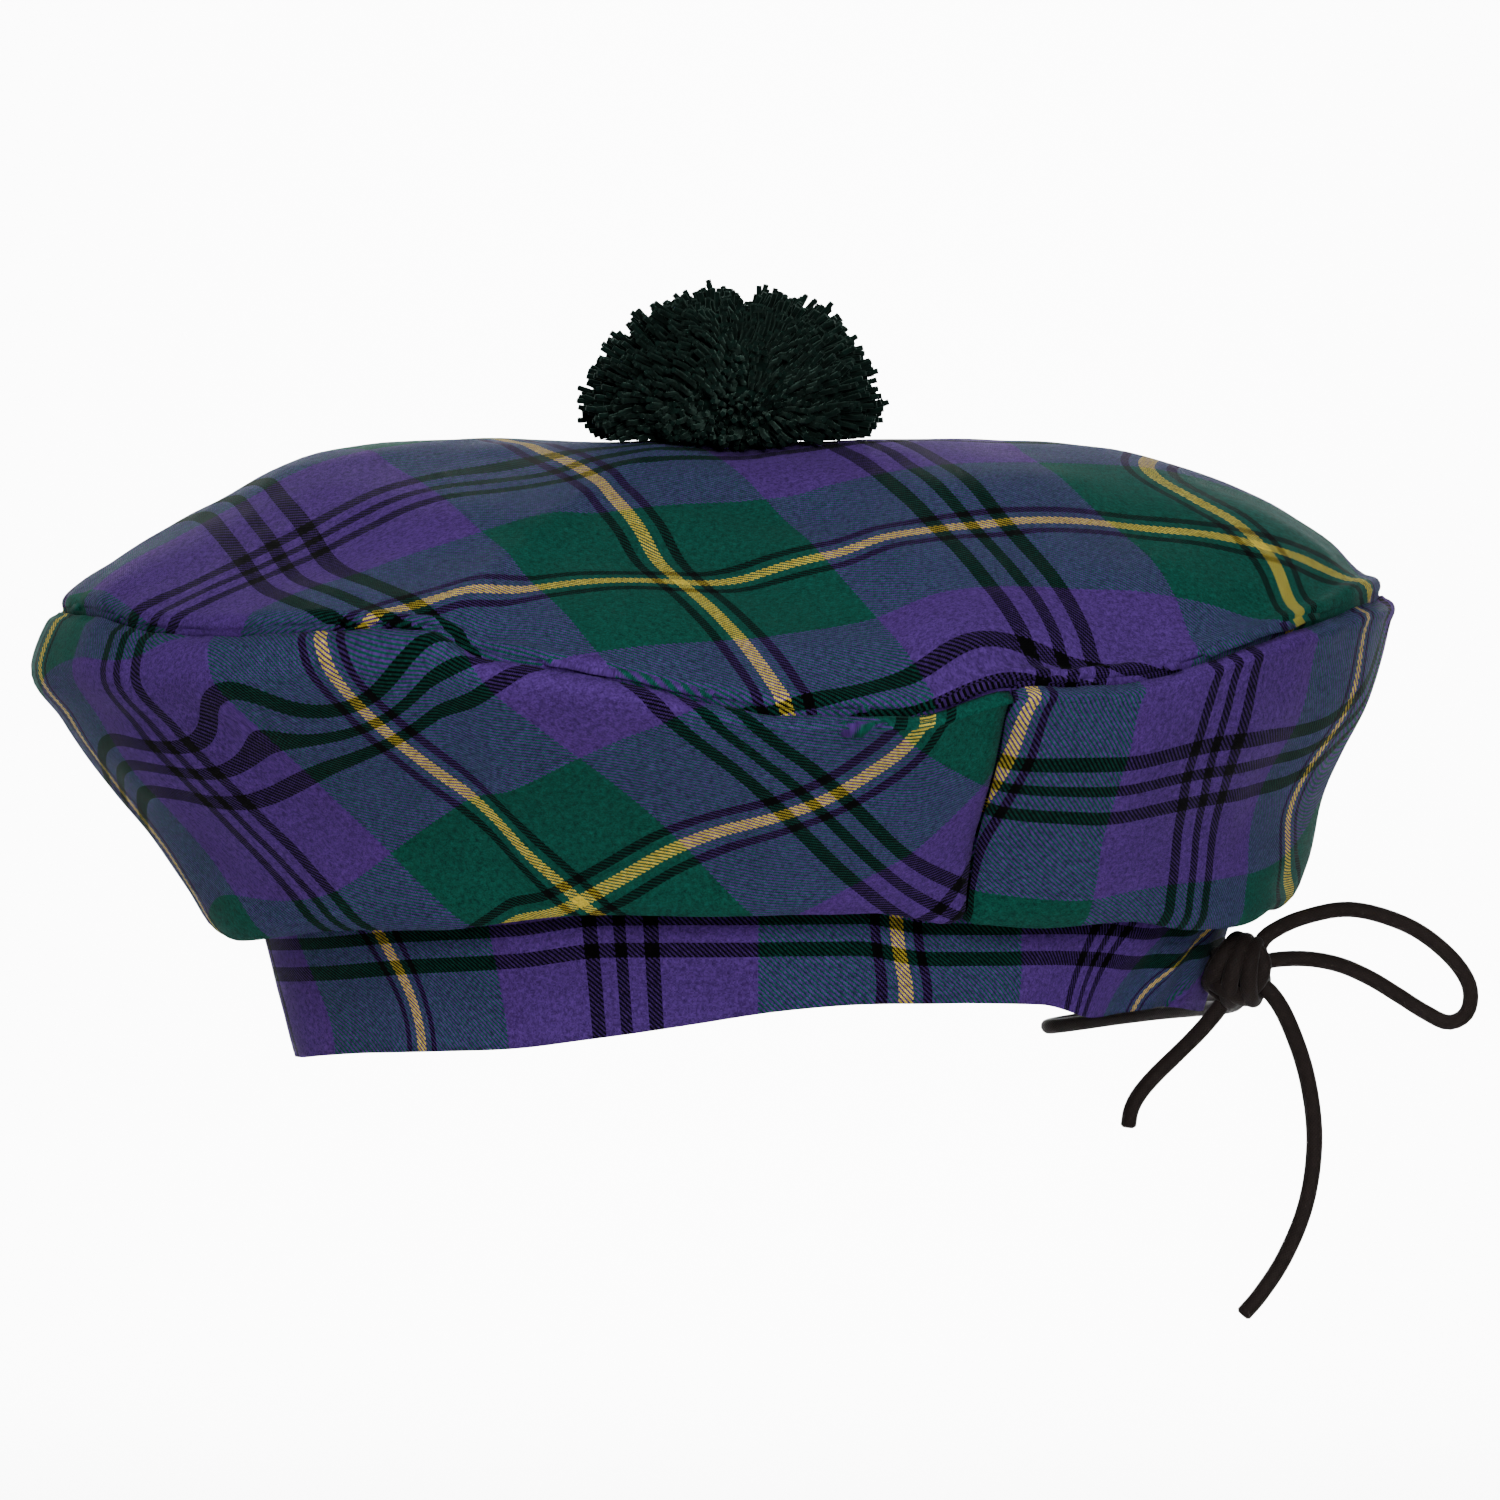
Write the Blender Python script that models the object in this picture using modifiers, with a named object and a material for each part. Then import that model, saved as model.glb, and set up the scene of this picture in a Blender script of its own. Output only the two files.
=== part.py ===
"""Tam o' shanter: a broad tartan crown over a straight headband, with a wool pompom on the
crown and a cord that draws the band in and is tied in a bow at the back.

The forehead is at -X, the back of the head at +X and the wearer's left side at -Y. The origin
is the middle of the head opening, level with the hem at the forehead, and Z points up.
An angle round the hat is in degrees, from 0 on the left side by 90 at the back, 180 on the
right side and -90 at the forehead.
"""
import math
import random

import bpy
import bmesh
from mathutils import Matrix, Vector

# Driving dimensions, in metres
CROWN_LENGTH = 0.2740       # rim seam, forehead to back
CROWN_BREADTH = 0.2745      # rim seam, side to side
CROWN_FORWARD = 0.0060      # how far the crown sits forward of the head
CROWN_TOP = 0.1273          # highest cloth above the hem
RIM_HEIGHT = 0.0905         # rim seam above the hem, before its waves
FOLD_LENGTH = 0.2230        # lower fold of the under crown, forehead to back
FOLD_BREADTH = 0.1960       # lower fold, side to side
FOLD_HEIGHT = 0.0300        # lower fold above the hem, before its waves
FOLD_ROUND = 0.0026         # radius of the lower fold
BAND_LENGTH = 0.2060        # headband at its top seam, forehead to back
BAND_BREADTH = 0.1690       # headband at its top seam, side to side
BAND_RISE = 0.0080          # top seam of the band above the lower fold
HEM_LENGTH = 0.1880         # headband at its hem, drawn in by the cord
HEM_BREADTH = 0.1560        # hem, side to side
HEM_DROP = 0.0250           # how far the hem hangs below the lower fold at the forehead
CLOTH = 0.0016              # wall of the wool with its lining
SEAM_GAP = 0.0004           # clear gap between pieces that meet
SEAM_LIP = 0.0030           # flat strip on either side of the rim seam
POMPOM_WIDTH = 0.0615
POMPOM_HEIGHT = 0.0315
POMPOM_FORWARD = 0.0030     # how far the pompom sits forward of the head's middle
POMPOM_WAIST = 0.20         # share of its height where the pompom is widest
POMPOM_LOCK = 0.0060        # how far a lock of wool stands out of the pompom's core
CORD_DIAMETER = 0.0032
KNOT_DEPTH = 0.0130         # knot, away from the band
KNOT_WIDTH = 0.0150         # knot, along the band
KNOT_HEIGHT = 0.0166
KNOT_ANGLE = 76.0           # where the knot lies on the band, in degrees round the hat
KNOT_SHARE = 0.64           # where the knot lies between the band's top seam and its hem

# How finely the cloth is divided
HALF_SEGMENTS = 36          # strips round each half of the under crown
SEAM_SIDE = 25.0            # rim end of the under crown's seam on the left side, in degrees
SEAM_LEAN = -2.2            # how far that seam leans forward on its way down, in degrees
SEAM_LEAN_ANGLE = 40.0      # how far round the lean of the cloth is felt, in degrees
BAND_STEP = 5.0             # degrees between the band's strips
GATHER_STEP = 2.5           # the same where the band is gathered
CORD_STEP = 2.0             # diameters between a cord's points
CORD_SIDES = 2              # bevel resolution of a cord, which gives 8 sides

MM = 0.001

# Waves of the rim seam: angle, height as a share of RIM_HEIGHT
RIM_WAVES = (
    (-90.0, 1.020), (-70.0, 1.028), (-57.0, 0.996), (-48.0, 0.992), (-36.0, 1.010),
    (-25.0, 1.014), (-20.0, 0.958), (-14.0, 0.932), (-8.0, 0.905), (-1.0, 0.862),
    (5.0, 0.835), (16.0, 0.831), (25.0, 0.888), (37.0, 0.898), (44.0, 0.930),
    (52.0, 0.973), (63.0, 1.016), (76.0, 1.052), (90.0, 1.056), (112.0, 1.030),
    (132.0, 0.992), (150.0, 0.981), (170.0, 0.970), (195.0, 0.975), (214.0, 0.998),
    (236.0, 1.004), (254.0, 1.022),
)

# Waves of the lower fold: angle, height as a share of FOLD_HEIGHT
FOLD_WAVES = (
    (-90.0, 0.82), (-64.0, 0.87), (-45.0, 0.96), (-28.0, 1.03), (-17.0, 1.11), (0.0, 1.12),
    (13.0, 1.12), (21.0, 1.04), (44.0, 1.01), (57.0, 0.95), (66.0, 0.97), (80.0, 1.03),
    (100.0, 1.03), (125.0, 1.00), (150.0, 1.05), (180.0, 1.08), (210.0, 1.02), (240.0, 0.92),
)

# Height of the hem above its lowest point, at the forehead: angle, share of HEM_DROP
HEM_WAVES = (
    (-90.0, 0.00), (-54.0, 0.13), (-31.0, 0.21), (-18.0, 0.32), (-6.0, 0.44), (3.0, 0.53),
    (15.0, 0.59), (39.0, 0.55), (47.0, 0.44), (62.0, 0.48), (80.0, 0.40), (100.0, 0.38),
    (125.0, 0.42), (150.0, 0.44), (180.0, 0.42), (205.0, 0.32), (230.0, 0.18), (250.0, 0.05),
)

# Gathers of the band beside the knot: angle, depth as a share of CLOTH
GATHERS = (
    (48.0, 0.0), (54.0, 0.5), (60.0, -0.7), (66.0, 0.8), (72.0, -0.6), (78.0, 0.0),
    (90.0, 0.0), (96.0, -0.6), (102.0, 0.8), (108.0, -0.7), (114.0, 0.5), (120.0, 0.0),
)

# Sections of the crown from its middle to the rim: share of the way out, then the share of
# the drop from top to rim on the left side, at the back, on the right side, at the forehead
CROWN_SECTIONS = (
    (0.00, 0.000, 0.000, 0.000, 0.000),
    (0.14, 0.030, 0.002, 0.016, 0.002),
    (0.28, 0.125, 0.006, 0.060, 0.004),
    (0.42, 0.270, 0.016, 0.140, 0.010),
    (0.54, 0.400, 0.055, 0.240, 0.035),
    (0.66, 0.545, 0.150, 0.370, 0.150),
    (0.76, 0.655, 0.285, 0.490, 0.360),
    (0.85, 0.755, 0.460, 0.620, 0.555),
    (0.92, 0.840, 0.680, 0.755, 0.715),
    (0.97, 0.915, 0.890, 0.890, 0.850),
)

# Sections of the under crown from the rim to the lower fold: place, then for the left side,
# the back, the right side and the forehead the share of the fall and of the way in
PANEL_SECTIONS = (
    (0.12, 0.11, -0.040, 0.09, -0.040, 0.13, -0.050, 0.17, -0.165),
    (0.30, 0.30, 0.150, 0.31, 0.110, 0.31, 0.130, 0.34, 0.040),
    (0.48, 0.50, 0.400, 0.51, 0.430, 0.50, 0.400, 0.52, 0.320),
    (0.66, 0.69, 0.640, 0.67, 0.675, 0.68, 0.640, 0.70, 0.620),
    (0.84, 0.86, 0.860, 0.87, 0.835, 0.86, 0.850, 0.87, 0.850),
)

# Dents of the crown: angle, share of the way out, half width in degrees, half length as a
# share of the way out, depth as a share of CROWN_TOP
CROWN_DENTS = (
    (-22.0, 0.97, 5.0, 0.060, 0.022),
    (-40.0, 0.82, 16.0, 0.120, 0.010),
    (33.0, 0.97, 5.0, 0.050, 0.018),
    (56.0, 0.72, 18.0, 0.160, 0.010),
    (150.0, 0.84, 14.0, 0.110, 0.016),
    (212.0, 0.78, 20.0, 0.150, 0.014),
)

# Dents of the under crown: angle, place, half width in degrees, half length in places,
# depth as a share of RIM_HEIGHT, below zero where the cloth stands out
PANEL_DENTS = (
    (-50.0, 0.40, 12.0, 0.28, 0.022),
    (-28.0, 0.34, 9.0, 0.24, -0.022),
    (-8.0, 0.62, 12.0, 0.26, 0.018),
    (12.0, 0.26, 9.0, 0.20, 0.026),
    (23.0, 0.60, 5.0, 0.34, 0.030),
    (40.0, 0.46, 10.0, 0.26, -0.020),
    (63.0, 0.52, 9.0, 0.28, 0.022),
    (128.0, 0.45, 11.0, 0.26, 0.024),
    (165.0, 0.38, 13.0, 0.26, -0.020),
    (200.0, 0.55, 9.0, 0.30, 0.026),
    (232.0, 0.42, 12.0, 0.26, -0.018),
)

# Turn of the cloth round the lower fold, in degrees below the horizontal
FOLD_TURN = (-38.0, -82.0, -126.0)

# Routes of the cord in millimetres, from the knot outwards
LOOP_BACK_ROUTE = (
    (106.7, -20.8, 25.9), (113.6, -22.6, 29.3), (123.6, -24.0, 31.0), (134.8, -24.2, 27.8),
    (143.0, -23.4, 22.0), (147.6, -22.4, 15.6), (147.4, -21.4, 9.9), (143.6, -20.6, 7.6),
    (138.6, -20.0, 9.8), (133.2, -19.6, 13.2), (127.4, -19.2, 16.7), (121.1, -19.0, 19.4),
    (114.5, -18.8, 20.6), (107.9, -19.0, 20.4),
)
LOOP_SIDE_ROUTE = (
    (100.9, -14.2, 14.4), (101.0, -3.0, 11.0), (98.9, 12.0, 9.0), (93.6, 28.0, 7.6),
    (85.6, 42.4, 6.0), (76.8, 53.6, 4.2), (68.8, 61.6, 2.6), (63.8, 68.4, 1.6),
    (65.0, 75.2, 1.6), (72.0, 75.4, 2.8), (81.0, 68.6, 4.6), (89.8, 58.2, 6.4),
    (98.0, 44.0, 8.6), (104.2, 25.6, 11.2), (106.6, 6.4, 14.4), (104.9, -13.5, 18.3),
)
TAIL_LONG_ROUTE = (
    (106.9, -20.0, 13.8), (110.4, -20.2, 8.2), (114.1, -20.6, -2.1), (115.9, -21.2, -13.3),
    (115.5, -22.0, -23.2), (113.4, -22.8, -32.3), (109.4, -23.8, -41.2), (104.8, -24.6, -48.1),
    (101.4, -25.2, -52.0),
)
TAIL_SHORT_ROUTE = (
    (96.4, -21.2, 10.6), (92.3, -22.4, 5.8), (87.6, -23.6, 1.2), (83.2, -24.6, -3.0),
    (79.9, -25.4, -6.8), (78.2, -26.0, -10.0), (77.6, -26.6, -13.2),
)

# Colours of the materials: red, green, blue, roughness
WOOL_BLUE = (0.035, 0.030, 0.110, 0.90)
WOOL_GREEN = (0.012, 0.060, 0.045, 0.90)
WOOL_SLATE = (0.030, 0.045, 0.085, 0.90)
POMPOM_WOOL = (0.006, 0.016, 0.013, 0.95)
CORD_BLACK = (0.012, 0.009, 0.008, 0.60)

COLLECTION_NAME = "tam_o_shanter"


def smooth(rows, place, column=1, around=False):
    """Reads a column of a table on a smooth curve that never overshoots the rows."""
    places = [row[0] for row in rows]
    values = [row[column] for row in rows]
    if around:
        place = (place - places[0]) % 360.0 + places[0]
        places = [places[-1] - 360.0] + places + [places[0] + 360.0, places[1] + 360.0]
        values = [values[-1]] + values + [values[0], values[1]]
    if place <= places[0]:
        return values[0]
    if place >= places[-1]:
        return values[-1]
    first = max(i for i in range(len(places) - 1) if places[i] <= place)

    def steepness(i):
        return (values[i + 1] - values[i]) / (places[i + 1] - places[i])

    def slope(i):
        if i == 0:
            return steepness(0)
        if i == len(places) - 1:
            return steepness(i - 1)
        before, after = steepness(i - 1), steepness(i)
        if before * after <= 0.0:
            return 0.0
        return 2.0 * before * after / (before + after)

    span = places[first + 1] - places[first]
    t = (place - places[first]) / span
    start = values[first] * (1.0 + 2.0 * t) * (1.0 - t) ** 2 + slope(first) * span * t * (1.0 - t) ** 2
    end = values[first + 1] * t * t * (3.0 - 2.0 * t) - slope(first + 1) * span * t * t * (1.0 - t)
    return start + end


def between_quarters(angle, values):
    """Mixes the values of the left side, back, right side and forehead at an angle."""
    quarter = (angle % 360.0) / 90.0
    first = int(quarter)
    weight = math.sin((quarter - first) * math.pi / 2.0) ** 2
    return values[first % 4] * (1.0 - weight) + values[(first + 1) % 4] * weight


def on_ring(angle, length, breadth, forward, height):
    """A point on an oval ring round the hat."""
    turn = math.radians(angle)
    return Vector((length / 2.0 * math.sin(turn) - forward, -breadth / 2.0 * math.cos(turn), height))


def outwards(angle):
    """The level direction away from the hat's middle."""
    turn = math.radians(angle)
    return Vector((math.sin(turn), -math.cos(turn), 0.0))


def dent_depth(dents, angle, place, size):
    """The depth of all dents at a place of the cloth."""
    depth = 0.0
    for middle, level, half_width, half_length, share in dents:
        away = (angle - middle + 180.0) % 360.0 - 180.0
        depth += share * size * math.exp(-(away / half_width) ** 2 - ((place - level) / half_length) ** 2)
    return depth


def rim_point(angle):
    height = RIM_HEIGHT * smooth(RIM_WAVES, angle, around=True)
    return on_ring(angle, CROWN_LENGTH, CROWN_BREADTH, CROWN_FORWARD, height)


def fold_point(angle):
    height = FOLD_HEIGHT * smooth(FOLD_WAVES, angle, around=True)
    return on_ring(angle, FOLD_LENGTH, FOLD_BREADTH, 0.0, height)


def crown_point(angle, share):
    """The outer face of the crown, from its middle at share 0 towards the rim at share 1."""
    rim = rim_point(angle)
    middle = Vector((-CROWN_FORWARD, 0.0, CROWN_TOP))
    columns = [smooth(CROWN_SECTIONS, share, column) for column in (1, 2, 3, 4)]
    drop = between_quarters(angle, columns)
    point = middle.lerp(rim, share)
    point.z = CROWN_TOP + (rim.z - CROWN_TOP) * drop
    point.z -= dent_depth(CROWN_DENTS, angle, share, CROWN_TOP)
    return point


def panel_point(angle, section):
    """The outer face of the under crown on one row of PANEL_SECTIONS."""
    rim, fold = rim_point(angle), fold_point(angle)
    fall = between_quarters(angle, section[1::2])
    way_in = between_quarters(angle, section[2::2])
    point = rim.lerp(fold, way_in)
    point.z = rim.z + (fold.z - rim.z) * fall
    return point - outwards(angle) * dent_depth(PANEL_DENTS, angle, section[0], RIM_HEIGHT)


def band_top(angle):
    height = fold_point(angle).z + BAND_RISE
    return on_ring(angle, BAND_LENGTH, BAND_BREADTH, 0.0, height)


def band_point(angle, share):
    """The outer face of the headband, from its top seam at share 0 to its hem at share 1."""
    lowest = FOLD_HEIGHT * FOLD_WAVES[0][1] - HEM_DROP
    height = lowest + HEM_DROP * smooth(HEM_WAVES, angle, around=True)
    hem = on_ring(angle, HEM_LENGTH, HEM_BREADTH, 0.0, height)
    gather = CLOTH * smooth(GATHERS, angle % 360.0) * share
    return band_top(angle).lerp(hem, share) + outwards(angle) * gather


def across_band(angle):
    """The directions up the band's wall and out of it, at its top seam."""
    up = (band_point(angle, 0.0) - band_point(angle, 0.5)).normalized()
    along = band_top(angle + 1.0) - band_top(angle - 1.0)
    return up, along.cross(up).normalized()


def crown_column(angle):
    """The crown's points at one angle, from beside its middle to the rim seam."""
    points = [crown_point(angle, section[0]) for section in CROWN_SECTIONS[1:]]
    rim = rim_point(angle)
    down = (panel_point(angle, PANEL_SECTIONS[0]) - points[-1]).normalized()
    return points + [rim - down * SEAM_LIP, rim], down


def panel_column(angle, seam_share=1.0):
    """The under crown's points at one angle, from the rim seam to the band's seam."""
    _, down = crown_column(angle)
    rim = rim_point(angle)
    points = [rim + down * SEAM_GAP, rim + down * (SEAM_GAP + SEAM_LIP)]
    for section in PANEL_SECTIONS:
        points.append(panel_point(leaned(angle, section[0]), section))
    low = leaned(angle, 1.0)
    out = outwards(low)
    heart = fold_point(low) - out * FOLD_ROUND + Vector((0.0, 0.0, FOLD_ROUND))
    for degrees in FOLD_TURN:
        turn = math.radians(degrees)
        points.append(heart + (out * math.cos(turn) + Vector((0.0, 0.0, math.sin(turn)))) * FOLD_ROUND)
    up, away = across_band(low)
    seat = band_top(low) + up * SEAM_GAP
    points += [seat + away * FOLD_ROUND, seat, seat - away * CLOTH]
    return points


def leaned(angle, place):
    """The angle at a place of the under crown, which leans with the seam on the left side."""
    away = (angle - SEAM_SIDE + 180.0) % 360.0 - 180.0
    return angle + SEAM_LEAN * place * math.exp(-(away / SEAM_LEAN_ANGLE) ** 2)


def even_angles(start, end, count):
    return [start + (end - start) * i / count for i in range(count + 1)]


def colour_material(name, colour):
    material = bpy.data.materials.new(name)
    material.use_nodes = True
    shader = material.node_tree.nodes["Principled BSDF"]
    shader.inputs["Base Color"].default_value = (colour[0], colour[1], colour[2], 1.0)
    shader.inputs["Roughness"].default_value = colour[3]
    shader.inputs["Metallic"].default_value = 0.0
    return material


def add_object(name, data, material, collection, parent):
    piece = bpy.data.objects.new(name, data)
    data.materials.append(material)
    collection.objects.link(piece)
    piece.parent = parent
    return piece


def sheet_mesh(name, columns, closed, middle=None):
    """A cloth surface through columns of points, outer face out, closed round if asked."""
    cloth = bmesh.new()
    grid = [[cloth.verts.new(point) for point in column] for column in columns]
    pairs = list(zip(grid, grid[1:] + grid[:1])) if closed else list(zip(grid, grid[1:]))
    for left, right in pairs:
        for i in range(len(left) - 1):
            cloth.faces.new((left[i], left[i + 1], right[i + 1], right[i]))
    if middle is not None:
        top = cloth.verts.new(middle)
        for left, right in pairs:
            cloth.faces.new((top, left[0], right[0]))
    mesh = bpy.data.meshes.new(name)
    cloth.to_mesh(mesh)
    cloth.free()
    mesh.shade_smooth()
    return mesh


def add_wall(piece):
    """Gives a cloth surface its thickness, towards the inside of the hat."""
    wall = piece.modifiers.new("wall", "SOLIDIFY")
    wall.thickness = CLOTH
    wall.offset = -1.0
    wall.use_even_offset = True


def seam_margin():
    """Half the gap of a seam between the halves of the under crown, in degrees."""
    return math.degrees(SEAM_GAP / (FOLD_BREADTH / 2.0))


def half_angles(start):
    """The angles of one half of the under crown, from one seam to the other."""
    return even_angles(start + seam_margin(), start + 180.0 - seam_margin(), HALF_SEGMENTS)


def add_crown(collection, parent):
    front = half_angles(SEAM_SIDE - 180.0)[1:-1]
    back = half_angles(SEAM_SIDE)[1:-1]
    angles = front + [SEAM_SIDE] + back + [SEAM_SIDE + 180.0]
    columns = [crown_column(angle)[0] for angle in angles]
    middle = Vector((-CROWN_FORWARD, 0.0, CROWN_TOP))
    mesh = sheet_mesh("crown_top", columns, True, middle)
    piece = add_object("crown_top", mesh, colour_material("crown_wool", WOOL_BLUE), collection, parent)
    add_wall(piece)


def add_under_panel(name, start, colour, collection, parent):
    columns = [panel_column(angle) for angle in half_angles(start)]
    mesh = sheet_mesh(name, columns, False)
    piece = add_object(name, mesh, colour_material(name + "_wool", colour), collection, parent)
    add_wall(piece)


def band_angles():
    """Angles round the band, closer together where the cord gathers it."""
    start, end = GATHERS[0][0], GATHERS[-1][0]
    plain = 360.0 - (end - start)
    fine = even_angles(start, end, round((end - start) / GATHER_STEP))
    wide = even_angles(end, start + 360.0, round(plain / BAND_STEP))
    return fine[:-1] + wide[:-1]


def add_headband(collection, parent):
    shares = (0.0, 0.25, 0.5, 0.75, 1.0)
    columns = [[band_point(angle, share) for share in shares] for angle in band_angles()]
    mesh = sheet_mesh("headband", columns, True)
    piece = add_object("headband", mesh, colour_material("band_wool", WOOL_SLATE), collection, parent)
    add_wall(piece)


def crown_height_at(x, y):
    """The height of the crown's outer face above a point near its middle."""
    across = Vector(((x + CROWN_FORWARD) / (CROWN_LENGTH / 2.0), y / (CROWN_BREADTH / 2.0)))
    angle = math.degrees(math.atan2(across.x, -across.y))
    return crown_point(angle, across.length).z


def pompom_place(way, inset):
    """A point of the pompom in a direction from its heart, inset from its outline."""
    level = POMPOM_WAIST + way.z * (POMPOM_WAIST if way.z < 0.0 else 1.0 - POMPOM_WAIST)
    level_reach = math.hypot(way.x, way.y)
    fuller = level_reach ** -0.5 if way.z < 0.0 and level_reach > 0.1 else 1.0
    across = (POMPOM_WIDTH / 2.0 - inset) * fuller
    return Vector((way.x * across, way.y * across, level * (POMPOM_HEIGHT - inset)))


def add_pompom(collection, parent):
    """A cut wool pompom: a round core whose every face is drawn out into a lock of wool."""
    wool = bmesh.new()
    bmesh.ops.create_icosphere(wool, subdivisions=3, radius=1.0)
    core = list(wool.verts)
    tips = bmesh.ops.poke(wool, faces=wool.faces[:])["verts"]
    chance = random.Random(7)
    for vertex in core:
        vertex.co = pompom_place(vertex.co.normalized(), POMPOM_LOCK)
    for vertex in tips:
        vertex.co = pompom_place(vertex.co.normalized(), 0.6 * POMPOM_LOCK * chance.random())
    for vertex in wool.verts:
        vertex.co.x -= POMPOM_FORWARD
        floor = crown_height_at(vertex.co.x, vertex.co.y) + SEAM_GAP
        vertex.co.z = max(vertex.co.z + CROWN_TOP, floor)
    mesh = bpy.data.meshes.new("pompom")
    wool.to_mesh(mesh)
    wool.free()
    add_object("pompom", mesh, colour_material("pompom_wool", POMPOM_WOOL), collection, parent)


def along_route(route):
    """Points at even steps on a smooth curve through a route's own points."""
    points = [Vector(point) * MM for point in route]
    points = [points[0] * 2.0 - points[1]] + points + [points[-1] * 2.0 - points[-2]]
    fine = []
    for i in range(1, len(points) - 2):
        before, start, end, after = points[i - 1:i + 3]
        for step in range(24):
            t = step / 24.0
            fine.append(0.5 * (2.0 * start + (end - before) * t
                        + (2.0 * before - 5.0 * start + 4.0 * end - after) * t * t
                        + (3.0 * start - before - 3.0 * end + after) * t ** 3))
    fine.append(points[-2])
    lengths = [0.0]
    for start, end in zip(fine, fine[1:]):
        lengths.append(lengths[-1] + (end - start).length)
    count = max(4, round(lengths[-1] / (CORD_STEP * CORD_DIAMETER)))
    spaced = []
    for i in range(count + 1):
        target = lengths[-1] * i / count
        first = max(k for k in range(len(fine) - 1) if lengths[k] <= target + 1e-12)
        span = lengths[first + 1] - lengths[first]
        spaced.append(fine[first].lerp(fine[first + 1], (target - lengths[first]) / span))
    return spaced


def add_cord(name, route, collection, parent):
    curve = bpy.data.curves.new(name, "CURVE")
    curve.dimensions = "3D"
    curve.bevel_depth = CORD_DIAMETER / 2.0
    curve.bevel_resolution = CORD_SIDES
    curve.use_fill_caps = True
    points = along_route(route)
    spline = curve.splines.new("POLY")
    spline.points.add(len(points) - 1)
    for target, point in zip(spline.points, points):
        target.co = (point.x, point.y, point.z, 1.0)
    add_object(name, curve, colour_material(name + "_cord", CORD_BLACK), collection, parent)


def knot_place():
    """The matrix that seats the knot on the band: X away from it, Y along it, Z up its wall."""
    up, away = across_band(KNOT_ANGLE)
    turn = Matrix((away, up.cross(away), up)).transposed().to_4x4()
    seat = band_point(KNOT_ANGLE, KNOT_SHARE)
    return Matrix.Translation(seat + away * (KNOT_DEPTH / 2.0 + SEAM_GAP)) @ turn


def knot_body():
    """The knot's core, an oval ball that its turns of cord stand out of."""
    body = bmesh.new()
    bmesh.ops.create_uvsphere(body, u_segments=14, v_segments=9, radius=0.5)
    for vertex in body.verts:
        vertex.co.x *= KNOT_DEPTH - CORD_DIAMETER * 0.5
        vertex.co.y *= KNOT_WIDTH
        vertex.co.z *= KNOT_HEIGHT - CORD_DIAMETER * 0.3
    return body


def knot_wrap(tilt):
    """A turn of cord round the knot, tilted in degrees from the upright."""
    wrap = bmesh.new()
    turns, sides = 18, 7
    thick = CORD_DIAMETER / 2.0
    deep = KNOT_DEPTH / 2.0 - thick
    high = (KNOT_HEIGHT / 2.0 - thick) / math.cos(math.radians(tilt))
    rings = []
    for i in range(turns):
        turn = 2.0 * math.pi * i / turns
        spread = Vector((math.cos(turn), 0.0, math.sin(turn)))
        heart = Vector((spread.x * deep, 0.0, spread.z * high))
        ring = []
        for k in range(sides):
            around = 2.0 * math.pi * k / sides
            side = Vector((0.0, thick * math.sin(around), 0.0))
            ring.append(wrap.verts.new(heart + spread * thick * math.cos(around) + side))
        rings.append(ring)
    for start, end in zip(rings, rings[1:] + rings[:1]):
        for k in range(sides):
            wrap.faces.new((start[k], end[k], end[(k + 1) % sides], start[(k + 1) % sides]))
    bmesh.ops.rotate(wrap, verts=wrap.verts[:], matrix=Matrix.Rotation(math.radians(tilt), 3, "X"))
    bmesh.ops.recalc_face_normals(wrap, faces=wrap.faces[:])
    return wrap


def add_knot(collection, cutters, parent):
    """The bow's knot: turns of the cord fused round its core."""
    material = colour_material("tie_knot_cord", CORD_BLACK)
    place = knot_place()
    solids = [knot_body(), knot_wrap(24.0), knot_wrap(-30.0)]
    pieces = []
    for number, solid in enumerate(solids):
        bmesh.ops.transform(solid, matrix=place, verts=solid.verts[:])
        mesh = bpy.data.meshes.new("tie_knot_%d" % number)
        solid.to_mesh(mesh)
        solid.free()
        home = collection if number == 0 else cutters
        name = "tie_knot" if number == 0 else "knot_turn_%d" % number
        pieces.append(add_object(name, mesh, material, home, parent))
    for turn in pieces[1:]:
        turn.hide_render = True
        turn.display_type = "WIRE"
        union = pieces[0].modifiers.new("join " + turn.name, "BOOLEAN")
        union.operation = "UNION"
        union.solver = "EXACT"
        union.object = turn


def main():
    for old in list(bpy.data.objects):
        bpy.data.objects.remove(old, do_unlink=True)
    collection = bpy.data.collections.new(COLLECTION_NAME)
    cutters = bpy.data.collections.new(COLLECTION_NAME + "_joins")
    bpy.context.scene.collection.children.link(collection)
    bpy.context.scene.collection.children.link(cutters)
    hat = bpy.data.objects.new(COLLECTION_NAME, None)
    collection.objects.link(hat)
    add_crown(collection, hat)
    add_under_panel("under_panel_front", SEAM_SIDE - 180.0, WOOL_GREEN, collection, hat)
    add_under_panel("under_panel_back", SEAM_SIDE, WOOL_BLUE, collection, hat)
    add_headband(collection, hat)
    add_pompom(collection, hat)
    add_knot(collection, cutters, hat)
    add_cord("tie_loop_back", LOOP_BACK_ROUTE, collection, hat)
    add_cord("tie_loop_side", LOOP_SIDE_ROUTE, collection, hat)
    add_cord("tie_tail_long", TAIL_LONG_ROUTE, collection, hat)
    add_cord("tie_tail_short", TAIL_SHORT_ROUTE, collection, hat)


main()
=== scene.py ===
"""Tam o' shanter: tartan crown, under crown and headband, a wool pompom and a cord bow.

The forehead is at -X, the back of the head at +X, the wearer's left side at -Y, which faces the
camera. An angle round the hat is in degrees, from 0 on the left side by 90 at the back, 180 on
the right side and -90 at the forehead.
"""
import math

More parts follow.
